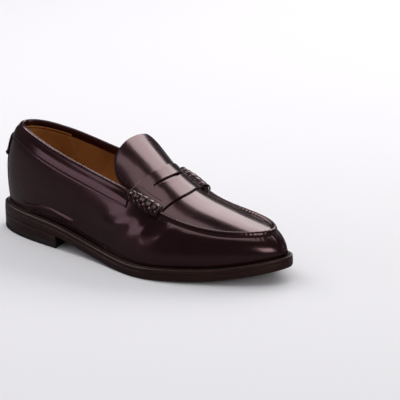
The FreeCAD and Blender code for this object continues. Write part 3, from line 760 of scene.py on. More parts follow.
@dataclass(frozen=True)
class LeatherFinish(Finish):
    """A leather: its colours, its gloss and how strong its grain is."""

    dark: tuple
    light: tuple
    # the colour of sharp edges: lighter from rubbing, and a painted highlight
    wear_and_highlight_colour: tuple
    roughness: tuple
    coat: float
    coat_roughness: float
    grain: float
    pore_scale: float = 1500.0
    crease_scale: float = 220.0
    # how strongly the sharp edges take that painted-lighter colour
    wear_and_highlight: float = 0.5
    specular: float = 0.3
    tint: tuple = (1.0, 1.0, 1.0)

    def paint(self, nodes: Nodes, shader: bpy.types.Node) -> None:
        """Adds the grain with its painted crease shade, the rubbed edges with their painted
        highlight, and the gloss.
        """
        grain = nodes.add("ShaderNodeGroup", node_tree=hide_grain())
        grain.inputs["Pore Scale"].default_value = self.pore_scale
        grain.inputs["Crease Scale"].default_value = self.crease_scale
        edges = nodes.add("ShaderNodeGroup", node_tree=edge_wear_and_highlight())
        edges.inputs["Amount"].default_value = self.wear_and_highlight
        colour = nodes.blend(grain.outputs["Mottle"], rgb(*self.dark), rgb(*self.light))
        # Darker along the grain's fine creases: grain tone, and painted shade in them.
        colour = nodes.blend(nodes.math("MULTIPLY", grain.outputs["Crease"], 0.35), colour,
                             rgb(*(c * 0.55 for c in self.dark)))
        # Sharp edges painted lighter: rubbing, and a painted highlight along them.
        colour = nodes.blend(edges.outputs["Wear And Highlight"], colour, rgb(*self.wear_and_highlight_colour))
        rough = nodes.ramp(grain.outputs["Mottle"], 0.0, 1.0, *self.roughness)
        bump = nodes.add("ShaderNodeBump", {
            "Height": grain.outputs["Height"], "Strength": self.grain, "Distance": 0.0002})
        link = nodes.tree.links.new
        link(colour, shader.inputs["Base Color"])
        link(rough, shader.inputs["Roughness"])
        link(bump.outputs["Normal"], shader.inputs["Normal"])
        shader.inputs["Coat Weight"].default_value = self.coat
        shader.inputs["Coat Roughness"].default_value = self.coat_roughness
        shader.inputs["Specular IOR Level"].default_value = self.specular
        shader.inputs["Specular Tint"].default_value = rgb(*self.tint)


@dataclass(frozen=True)
class EdgeFinish(Finish):
    """Waxed sole edges and heel lifts: pressed leather seen in layers."""

    dark: tuple
    light: tuple
    layer: float = 1.1
    gloss: float = 0.26

    def paint(self, nodes: Nodes, shader: bpy.types.Node) -> None:
        """Adds the pressed layers."""
        place = nodes.add("ShaderNodeTexCoord").outputs["Object"]
        flat = nodes.add("ShaderNodeMapping", {"Vector": place, "Scale": (40.0, 40.0, 900.0)})
        layers = nodes.noise(flat.outputs["Vector"], 1.0 / self.layer, 4.0, 0.6)
        patches = nodes.noise(place, 45.0, 4.0)
        fibres = nodes.noise(place, 900.0, 3.0)
        colour = nodes.blend(nodes.ramp(layers, 0.35, 0.65), rgb(*self.dark), rgb(*self.light))
        colour = nodes.blend(nodes.ramp(patches, 0.35, 0.75, 0.0, 0.45), colour,
                             rgb(*(c * 0.6 for c in self.dark)))
        # Sharp edges painted much lighter: rubbing, and a painted highlight along them.
        edges = nodes.add("ShaderNodeGroup", node_tree=edge_wear_and_highlight())
        edges.inputs["Amount"].default_value = 0.35
        colour = nodes.blend(edges.outputs["Wear And Highlight"], colour, rgb(*(c * 1.9 for c in self.light)))
        height = nodes.math("ADD", nodes.math("MULTIPLY", layers, 0.7),
                            nodes.math("MULTIPLY", fibres, 0.3))
        bump = nodes.add("ShaderNodeBump", {
            "Height": height, "Strength": 0.25, "Distance": 0.0003})
        link = nodes.tree.links.new
        link(colour, shader.inputs["Base Color"])
        link(nodes.ramp(patches, 0.3, 0.7, self.gloss, self.gloss + 0.14),
             shader.inputs["Roughness"])
        link(bump.outputs["Normal"], shader.inputs["Normal"])
        shader.inputs["Coat Weight"].default_value = 0.30
        shader.inputs["Coat Roughness"].default_value = 0.12
        shader.inputs["Specular Tint"].default_value = rgb(1.0, 0.66, 0.62)


@dataclass(frozen=True)
class ThreadFinish(Finish):
    """Waxed sewing thread with its twist."""

    dark: tuple
    light: tuple
    roughness: float = 0.45

    def paint(self, nodes: Nodes, shader: bpy.types.Node) -> None:
        """Adds the twist and the fuzz."""
        place = nodes.add("ShaderNodeTexCoord").outputs["Object"]
        twist = nodes.add("ShaderNodeTexWave", {
            "Vector": place, "Scale": 700.0, "Distortion": 1.5, "Detail": 1.0},
            bands_direction="DIAGONAL")
        fuzz = nodes.noise(place, 2500.0, 2.0)
        share = nodes.math("MULTIPLY", twist.outputs["Fac"], fuzz)
        colour = nodes.blend(nodes.ramp(share, 0.1, 0.6), rgb(*self.dark), rgb(*self.light))
        bump = nodes.add("ShaderNodeBump", {
            "Height": twist.outputs["Fac"], "Strength": 0.5, "Distance": 0.0001})
        link = nodes.tree.links.new
        link(colour, shader.inputs["Base Color"])
        link(bump.outputs["Normal"], shader.inputs["Normal"])
        link(nodes.ramp(fuzz, 0.3, 0.7, self.roughness, self.roughness + 0.2),
             shader.inputs["Roughness"])


@dataclass(frozen=True)
class PlainFinish(Finish):
    """Rubber, cork, board and metal parts, each with its own grain."""

    dark: tuple
    light: tuple
    scale: float
    roughness: tuple
    bump: float = 0.3
    metallic: float = 0.0
    stretch: tuple = (1.0, 1.0, 1.0)

    def paint(self, nodes: Nodes, shader: bpy.types.Node) -> None:
        """Adds the grain."""
        place = nodes.add("ShaderNodeTexCoord").outputs["Object"]
        grain = nodes.add("ShaderNodeMapping", {"Vector": place, "Scale": self.stretch})
        fine = nodes.noise(grain.outputs["Vector"], self.scale, 5.0, 0.65)
        slow = nodes.noise(place, 40.0, 3.0)
        colour = nodes.blend(nodes.ramp(fine, 0.3, 0.7), rgb(*self.dark), rgb(*self.light))
        colour = nodes.blend(nodes.ramp(slow, 0.45, 0.8, 0.0, 0.4), colour,
                             rgb(*(c * 0.6 for c in self.dark)))
        bump = nodes.add("ShaderNodeBump", {
            "Height": fine, "Strength": self.bump, "Distance": 0.0002})
        link = nodes.tree.links.new
        link(colour, shader.inputs["Base Color"])
        link(nodes.ramp(fine, 0.3, 0.7, *self.roughness), shader.inputs["Roughness"])
        link(bump.outputs["Normal"], shader.inputs["Normal"])
        shader.inputs["Metallic"].default_value = self.metallic


# Each leather's third colour paints its sharp edges lighter: rubbing, and a painted highlight.
UPPER = LeatherFinish(
    "burgundy_polished_leather", Slot.UPPER, (0.0080, 0.0019, 0.0026), (0.0145, 0.0033, 0.0042),
    (0.060, 0.017, 0.017), (0.17, 0.24), 0.36, 0.08, 0.14, 1500.0, 160.0, 0.35, 0.95,
    (1.0, 0.56, 0.60))
LINING = LeatherFinish(
    "tan_lining_leather", Slot.LINING, (0.36, 0.135, 0.032), (0.50, 0.215, 0.060),
    (0.60, 0.33, 0.14), (0.48, 0.62), 0.05, 0.3, 0.55, 1100.0, 240.0, 0.3)
SOLE_FACE = LeatherFinish(
    "dark_sole_leather", Slot.SOLE, (0.050, 0.026, 0.018), (0.082, 0.044, 0.030),
    (0.16, 0.09, 0.06), (0.34, 0.50), 0.15, 0.25, 0.45, 700.0, 120.0, 0.5)
SOLE_EDGE = EdgeFinish("waxed_sole_edge", Slot.SOLE, (0.0135, 0.0048, 0.0045),
                       (0.026, 0.0095, 0.0080))
HEEL_STACK = EdgeFinish("waxed_heel_lifts", Slot.SOLE, (0.0145, 0.0052, 0.0048),
                        (0.026, 0.0100, 0.0085), 1.6, 0.24)
DARK_THREAD = ThreadFinish("dark_waxed_thread", Slot.UPPER, (0.014, 0.007, 0.007),
                           (0.060, 0.034, 0.032), 0.36)
ROLL_CORD = ThreadFinish("roll_cord", Slot.UPPER, (0.010, 0.0035, 0.004),
                         (0.026, 0.010, 0.010), 0.24)
EDGE_THREAD = ThreadFinish("welt_thread", Slot.SOLE, (0.030, 0.016, 0.013),
                           (0.100, 0.060, 0.048), 0.42)
TAN_THREAD = ThreadFinish("tan_lining_thread", Slot.LINING, (0.30, 0.15, 0.05),
                          (0.62, 0.40, 0.20), 0.55)
RUBBER = PlainFinish("black_top_piece_rubber", Slot.TOP_PIECE, (0.012, 0.008, 0.0075),
                     (0.024, 0.016, 0.015), 1200.0, (0.52, 0.70))
CORK = PlainFinish("pressed_cork", Slot.CORK, (0.22, 0.12, 0.05), (0.52, 0.34, 0.18), 700.0,
                   (0.7, 0.9), 0.8)
BOARD = PlainFinish("insole_leatherboard", Slot.INSOLE, (0.40, 0.26, 0.15), (0.56, 0.39, 0.25),
                    900.0, (0.6, 0.8), 0.4)
STIFF_BOARD = PlainFinish("stiffener_board", Slot.STIFFENER, (0.32, 0.23, 0.15),
                          (0.46, 0.35, 0.24), 800.0, (0.65, 0.85), 0.4)
SPRING_STEEL = PlainFinish("shank_spring_steel", Slot.SHANK, (0.38, 0.38, 0.40),
                           (0.60, 0.60, 0.62), 300.0, (0.25, 0.42), 0.15, 1.0, (1.0, 14.0, 14.0))
NAIL_BRASS = PlainFinish("worn_nail_brass", Slot.NAIL, (0.50, 0.34, 0.13), (0.78, 0.60, 0.28),
                         1500.0, (0.22, 0.40), 0.2, 1.0)


def clothe(piece: bpy.types.Object, finish: Finish) -> None:
    """Gives a piece its material, unless it already has its own."""
    if not piece.data.materials or piece.data.materials[0] is None:
        piece.data.materials.clear()
        piece.data.materials.append(finish.build())


def dress(piece: bpy.types.Object, finish: Finish, body: Body = Body.SHOE,
          replaced: tuple = ()) -> bpy.types.Object:
    """Gives a piece its finish, its body and the CAD nodes that it stands for.

    Args:
        piece: the finished mesh.
        finish: one of the finishes above.
        body: the body it rides on.
        replaced: CAD nodes that it replaces.
    Returns:
        The same piece.
    """
    clothe(piece, finish)
    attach(piece, body.value)
    if replaced:
        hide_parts(*replaced)
    triangles = sum(len(p.vertices) - 2 for p in piece.data.polygons)
    log.info("%s: %d triangles on %s", piece.name, triangles, body.value)
    return piece


def sew(row: StitchRow, thread: Finish) -> bpy.types.Object:
    """Sews a row on the shoe's own body.

    Args:
        row: the row of stitches.
        thread: what it is sewn with.
    Returns:
        The finished row.
    """
    return dress(row.build(thread.build()), thread)


# ---------------------------------------------------------------- bottom


@dataclass
class Bottom:
    """Outsole, welt, heel and the pieces inside them."""

    last: Last = field(default_factory=lambda: LAST)
    around: int = 480
    ridge_pitch: float = 1.9
    ridge_depth: float = 0.22
    heel_length: float = 81.0
    top_piece: float = 5.0
    lift: float = 4.2
    breast_hollow: float = 3.0
    ribs_across: int = 25
    channel_inset: float = 7.5
    channel_margin: float = 3.0
    stitch_inset: float = 3.75
    stitch_depth: float = 0.12
    insole: float = 2.4
    sock: float = 1.3
    sock_gap: float = 0.9

    def level(self, points: np.ndarray, height: float) -> np.ndarray:
        """Sets points at a height over the sole's curved underside."""
        points = points.copy()
        points[..., 2] = self.last.under.at(points[..., 0]) + height
        return points

    def slab(self, name: str, section: list[tuple[float, float]], low: float,
             high: float) -> bpy.types.Object:
        """A slab with the sole's outline and a shaped edge.

        Args:
            name: the piece's name.
            section: the edge's path from top to bottom as (share of height, inset).
            low: the underside's height over the sole's underside.
            high: the upper side's height.
        Returns:
            The slab.
        """
        last = self.last
        ts = spaced(0, TURN / 2, self.around // 2 + 1)
        shares = spaced(0, 1, self.ribs_across)[None, :, None]

        def ribs(share: float, inset: float) -> np.ndarray:
            outer = last.rim(ts, np.full(len(ts), inset))
            inner = last.rim(TURN - ts, np.full(len(ts), inset))
            grid = outer[:, None] * (1 - shares) + inner[:, None] * shares
            top = last.under.at(grid[..., 0]) + high
            bottom = last.under.at(grid[..., 0]) + low
            grid[..., 2] = bottom + (top - bottom) * share
            return grid

        surface = Surface()
        levels = [ribs(share, inset) for share, inset in section]
        surface.add_grid(levels[0])
        surface.add_grid(levels[-1], flip=True)
        for column in (0, -1):
            surface.add_grid(np.array([grid[:, column] for grid in levels]))
        return surface.make(name)

    def build_outsole(self) -> bpy.types.Object:
        """The outsole, its edge a little rounded; the channel underneath is built on its own."""
        section = [(1.0, 0.22), (0.98, 0.08), (0.94, 0.0), (0.7, 0.0), (0.45, 0.0), (0.25, 0.03),
                   (0.12, 0.2), (0.03, 0.6), (0.0, 1.3)]
        piece = self.slab("outsole_leather", section, 0.0, self.last.outsole)
        piece.data.materials.append(SOLE_EDGE.build())
        piece.data.materials.append(SOLE_FACE.build())
        for polygon in piece.data.polygons:
            polygon.material_index = 1 if polygon.normal.z < -0.8 else 0
        return dress(piece, SOLE_EDGE, replaced=("outsole",))

    def build_channel(self) -> bpy.types.Object:
        """The closed channel cut round the outsole's underside."""
        ts = np.linspace(0, TURN, 640, endpoint=False)
        line = self.level(self.last.rim(ts, np.full(len(ts), self.channel_inset)), 0.0)
        keep = line[:, 0] > -0.5 * self.last.length + self.heel_length + self.channel_margin
        start = int(np.argmax(np.roll(~keep, 1) & keep))
        run = np.roll(line, -start, axis=0)[: int(keep.sum())]
        rows = []
        side = unit_length(np.cross(np.gradient(run, axis=0), [0, 0, 1.0]))
        for across, rise in ((-0.5, 0.03), (-0.25, -0.06), (0.0, -0.09), (0.25, -0.06),
                             (0.5, 0.03), (0.0, 0.3)):
            rows.append(run + side * across + np.array([0, 0, rise]))
        piece = bar("outsole_channel", np.array(rows).transpose(1, 0, 2))
        return dress(piece, SOLE_FACE)

    def build_welt(self) -> bpy.types.Object:
        """The welt all the way round, wheeled along its outer edge."""
        last = self.last
        count = 2200
        ts = np.linspace(0, TURN, count, endpoint=False)
        run = self.level(last.rim(ts, np.zeros(count)), 0.0)
        length = np.linalg.norm(np.diff(run, axis=0, append=run[:1]), axis=1)
        place = length.cumsum()
        ridges = round(place[-1] / self.ridge_pitch)
        tick = 0.5 - 0.5 * np.cos(2 * math.pi * ridges * place / place[-1])
        low = last.outsole + last.glue
        high = low + last.welt
        section = [
            (12.6, high - 0.2, 0), (9.0, high, 0), (5.2, high, 0), (4.5, high - 0.05, 0),
            (4.0, high - 0.35, 0), (3.5, high - 0.35, 0), (3.1, high - 0.02, 0.2),
            (2.6, high, 1), (1.9, high, 1), (1.2, high - 0.08, 1), (0.7, high - 0.3, 0.7),
            (0.35, high - 0.7, 0.2), (0.22, high - 1.4, 0), (0.18, low + 1.2, 0),
            (0.2, low + 0.4, 0), (0.3, low + 0.08, 0), (1.0, low, 0), (8.0, low, 0),
            (12.6, low, 0),
        ]
        rows = []
        for inset, height, marked in section:
            points = last.rim(ts, np.full(count, inset))
            points[:, 2] = last.under.at(points[:, 0]) + height - marked * self.ridge_depth * tick
            rows.append(points)
        piece = ring_tube("welt_wheeled", np.array(rows).transpose(1, 0, 2))
        return dress(piece, SOLE_EDGE, replaced=("welt",))

    def build_welt_stitches(self) -> bpy.types.Object:
        """The sewing that joins the welt to the outsole, in its groove."""
        ts = np.linspace(0, TURN, 700, endpoint=False)
        inset = np.full(len(ts), self.stitch_inset)
        line = self.level(self.last.rim(ts, inset), self.last.sole_top - self.stitch_depth)
        return sew(StitchRow("welt_stitches", line, 3.3, 2.9, 0.75, closed=True), EDGE_THREAD)

    def build_heel(self) -> None:
        """Two leather lifts and the rubber top piece."""
        last = self.last
        glue = last.glue
        first = self.top_piece + glue
        second = first + self.lift + glue
        lower = [(1.0, 0.36), (0.97, 0.27), (0.8, 0.28), (0.5, 0.32), (0.2, 0.34), (0.03, 0.35),
                 (0.0, 0.44)]
        upper = [(1.0, 0.20), (0.96, 0.10), (0.7, 0.13), (0.4, 0.18), (0.04, 0.24), (0.0, 0.33)]
        rubber = [(1.0, 0.44), (0.97, 0.35), (0.6, 0.33), (0.25, 0.30), (0.1, 0.36),
                  (0.03, 0.6), (0.0, 1.0)]
        parts = (
            ("heel_lift_upper_leather", upper, second, None, HEEL_STACK, "heel_lift_upper"),
            ("heel_lift_lower_leather", lower, first, first + self.lift, HEEL_STACK,
             "heel_lift_lower"),
            ("heel_top_piece_rubber", rubber, 0.0, self.top_piece, RUBBER, "heel_top_piece"),
        )
        for name, section, bottom, top, finish, node in parts:
            piece = self.heel_block(name, section, bottom, top)
            dress(piece, finish, replaced=(node,))

    def heel_block(self, name: str, section: list[tuple[float, float]], bottom: float,
                   top: float | None) -> bpy.types.Object:
        """One layer of the heel.

        Args:
            name: the piece's name.
            section: the edge's path from top to bottom as (share of height, inset).
            bottom: the level of its underside.
            top: the level of its upper side, or None to meet the outsole.
        Returns:
            The layer.
        """
        last = self.last
        breast = -0.5 * last.length + self.heel_length
        count = 120
        outer_ts = spaced(0, last.t_at(last.plan, breast, 0.2, 4), count)
        inner_ts = spaced(TURN, last.t_at(last.plan, breast, TURN - 0.2, TURN - 4), count)
        shares = spaced(0, 1, self.ribs_across)
        depth = spaced(0, 1, count)[:, None] ** 3
        bow = 4 * shares * (1 - shares)

        def ribs(share: float, inset: float) -> np.ndarray:
            outer = last.rim(outer_ts, np.full(count, inset))
            inner = last.rim(inner_ts, np.full(count, inset))
            mix = shares[None, :, None]
            grid = outer[:, None] * (1 - mix) + inner[:, None] * mix
            grid[..., 0] -= self.breast_hollow * depth * bow[None, :]
            over = last.under.at(grid[..., 0]) - last.glue if top is None else top
            grid[..., 2] = bottom + (over - bottom) * share
            return grid

        surface = Surface()
        levels = [ribs(share, inset) for share, inset in section]
        surface.add_grid(levels[0])
        surface.add_grid(levels[-1], flip=True)
        for cut in (np.s_[:, 0], np.s_[:, -1], np.s_[-1, :]):
            surface.add_grid(np.array([grid[cut] for grid in levels]))
        return surface.make(name)

    def build_sock(self) -> bpy.types.Object:
        """The sock liner that the foot stands on."""
        last = self.last
        low = last.sole_top + 2 * last.glue + self.insole
        inset = last.feather + last.leather + last.stiffener + last.lining + self.sock_gap
        section = [(1.0, inset + 1.2), (0.9, inset + 0.4), (0.6, inset), (0.0, inset)]
        piece = self.slab("sock_liner_leather", section, low, low + self.sock)
        return dress(piece, LINING, replaced=("sock_liner",))

    def dress_inner_nodes(self) -> None:
        """Gives the pieces that stay as CAD nodes their materials."""
        finishes = {"cork_filler": CORK, "insole_board": BOARD, "shank": SPRING_STEEL,
                    "heel_nails": NAIL_BRASS, "heel_counter": STIFF_BOARD,
                    "toe_puff": STIFF_BOARD}
        for node, finish in finishes.items():
            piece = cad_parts[node]
            piece.data.materials.clear()
            piece.data.materials.append(finish.build())

    def build(self) -> None:
        """Builds the whole bottom."""
        self.build_outsole()
        self.build_channel()
        self.build_welt()
        self.build_welt_stitches()
        self.build_heel()
        self.build_sock()
        self.dress_inner_nodes()


# ---------------------------------------------------------------- sides of the upper


@dataclass(frozen=True)
class Fold:
    """One soft fold in the leather: where it is, which way it runs and how deep it is."""

    place: tuple
    run: tuple
    length: float
    width: float
    depth: float


@dataclass
class Sides:
    """The two side pieces, joined at the toe and at the back of the heel."""

    last: Last = field(default_factory=lambda: LAST)
    columns: int = 300
    rows: int = 56
    folds: tuple = (
        Fold((8, -42, 40), (0.92, 0, 0.38), 18, 8.0, 1.5),
        Fold((22, -43, 37), (0.80, 0, 0.60), 14, 6.5, -1.0),
        Fold((34, -44, 41), (0.78, 0, 0.62), 15, 6.0, 1.4),
        Fold((46, -43, 42), (0.62, 0, 0.78), 13, 5.0, -0.9),
        Fold((56, -44, 43), (0.50, 0, 0.86), 12, 5.0, 1.1),
        Fold((66, -44, 42), (0.40, 0, 0.92), 11, 4.2, -0.6),
        Fold((74, -44, 42), (0.30, 0, 0.95), 11, 4.5, 0.7),
        Fold((24, 50, 42), (0.80, 0, 0.60), 15, 7.0, 1.0),
        Fold((44, 49, 40), (0.70, 0, 0.70), 16, 6.5, -0.8),
        Fold((60, 46, 42), (0.60, 0, 0.80), 14, 6.0, 0.8),
    )
    pucker_depth: float = 0.14
    pucker_pitch: float = 3.6
    seat_line: tuple = ((-108.6, -21.8, 31.6), (-92.0, -27.0, 34.2), (-76.9, -30.8, 34.3),
                        (-52.6, -33.8, 30.4))

    def softness(self, points: np.ndarray, v: np.ndarray, t: np.ndarray) -> np.ndarray:
        """How far the leather stands off the last: slow waves, folds and seam puckers."""
        rise = 0.22 * value_noise(points, 26, 3.1) + 0.10 * value_noise(points, 11, 7.7)
        for fold in self.folds:
            gap = points - np.array(fold.place, float)
            run = unit_length(np.array(fold.run, float))
            along = gap @ run
            across = np.linalg.norm(gap - along[..., None] * run, axis=-1)
            shape = np.exp(-(along / fold.length) ** 2 - (across / fold.width) ** 2)
            rise = rise + fold.depth * shape
        front = smooth_step((points[..., 0] - 42) / 10)
        down = np.linalg.norm(points - self.last.edge.at(t), axis=-1)
        pucker = 0.5 + 0.5 * np.cos(self.pucker_phase(t))
        rise = rise + self.crease(points)
        rise = rise - self.pucker_depth * front * pucker * np.exp(-((down - 3.5) / 3.2) ** 2)
        return rise * smooth_step(v * 14) * smooth_step((1.02 - v) * 16)

    def crease(self, points: np.ndarray) -> np.ndarray:
        """The long soft step over the heel seat, where the leather meets the counter's edge."""
        line = np.array(self.seat_line, float)
        runs = np.linspace(0, len(line) - 1, 60)
        dense = np.stack([np.interp(runs, range(len(line)), line[:, k]) for k in range(3)], -1)
        gaps = points[..., None, :] - dense
        near = np.sqrt(np.min(np.sum(gaps**2, axis=-1), axis=-1))
        height = points[..., 2] - np.interp(points[..., 0], line[:, 0], line[:, 2])
        return (0.9 * np.exp(-((height + 1.5) / 1.7) ** 2)
                - 0.8 * np.exp(-((height - 1.4) / 1.4) ** 2)) * np.exp(-((near / 6.0) ** 4))

    def pucker_phase(self, t: np.ndarray) -> np.ndarray:
        """A phase that turns once for every stitch of the apron seam."""
        ts = np.linspace(0, TURN, 1601)
        line = self.last.edge.at(ts)
        run = np.r_[0, np.linalg.norm(np.diff(line, axis=0), axis=1).cumsum()]
        return np.interp(t, ts, run) * 2 * math.pi / self.pucker_pitch

    def build_side(self, side: Side) -> bpy.types.Object:
        """One side piece, from the heel seam to the toe seam."""
        last = self.last
        start, end = (0.0, TOE) if side is Side.OUTER else (TOE, TURN)
        ts = spaced(start, end, self.columns)[:, None]
        vs = spaced(0, 1, self.rows)[None, :]
        ts, vs = np.broadcast_arrays(ts, vs)
        base = last.wall(ts, vs)
        rise = self.softness(base, vs, ts)
        over = last.on_wall(ts, vs, rise)
        below = last.on_wall(ts, vs, rise - last.leather)
        name = "side_outer_leather" if side is Side.OUTER else "side_inner_leather"
        node = "side_lateral" if side is Side.OUTER else "side_medial"
        return dress(sheet_between(name, over, below), UPPER, replaced=(node,))

    def build(self) -> None:
        """Builds both sides."""
        for side in Side:
            self.build_side(side)


# ---------------------------------------------------------------- linings


@dataclass
class Linings:
    """The leather inside the shoe, with its seams."""

    last: Last = field(default_factory=lambda: LAST)
    heel_joint: float = -0.317
    overlap: float = 0.35
    rim_drop: float = 2.4
    vamp_drop: float = 3.5

    def sheet(self, name: str, span: tuple[float, float], top: float, depth: float, node: str,
              columns: int) -> bpy.types.Object:
        """A lining panel between two parameters.

        Args:
            name: the piece's name.
            span: where it starts and ends round the shoe.
            top: how far below the edge it stops.
            depth: how far inside the wall its hidden face lies.
            node: the CAD node that it replaces.
            columns: how many points it has round the shoe.
        Returns:
            The panel.
        """
        last = self.last
        ts = spaced(*span, columns)
        tops = last.below_edge(ts, top)
        vs = 0.01 + (tops - 0.01)[:, None] * spaced(0, 1, 34)[None, :]
        t2 = np.broadcast_to(ts[:, None], vs.shape)
        wave = 0.12 * value_noise(last.wall(t2, vs), 18, 11.3)
        over = last.on_wall(t2, vs, -depth + wave)
        below = last.on_wall(t2, vs, -depth - last.lining + wave)
        piece = sheet_between(name, over, below)
        bevel(piece, 0.3)
        return dress(piece, LINING, replaced=(node,))

    def build(self) -> None:
        """Builds the linings and their sewing."""
        last = self.last
        depth = last.leather + last.stiffener + 2 * last.glue
        rear = last.t_at(last.edge, self.heel_joint * last.length, 0.5, 3)
        front = last.t_at(last.edge, last.strap_front, 3, 6)
        over = depth + last.lining + 0.1
        self.sheet("heel_lining_leather", (-rear, rear), self.rim_drop,
                   over - self.overlap, "heel_lining", 110)
        self.sheet("quarter_lining_outer", (rear - 0.1, front), self.rim_drop, depth,
                   "quarter_lining_lateral", 90)
        self.sheet("quarter_lining_inner", (TURN - front, TURN - rear + 0.1),
                   self.rim_drop, depth, "quarter_lining_medial", 90)
        self.sheet("vamp_lining_leather", (front, TURN - front), self.vamp_drop, depth,
                   "vamp_lining", 120)
        inside = -over - last.lining + self.overlap
        for name, t in (("heel_lining_seam_outer", rear - 0.05),
                        ("heel_lining_seam_inner", -rear + 0.05)):
            vs = spaced(0.1, float(last.below_edge(t, 7.0)[0]), 60)
            line = last.on_wall(np.full(60, t), vs, np.full(60, inside - 0.05))
            sew(StitchRow(name, line, 2.6, 1.9, 0.5), TAN_THREAD)
        ts = spaced(-4.0, 4.0, 260)
        tops = last.below_edge(ts, 8.2)
        deep = np.where(np.abs(ts) < rear, inside, -depth - last.lining) - 0.05
        line = last.on_wall(ts, tops, deep)
        sew(StitchRow("topline_lining_stitches", line, 2.6, 1.9, 0.45), TAN_THREAD)


# ---------------------------------------------------------------- collar and back


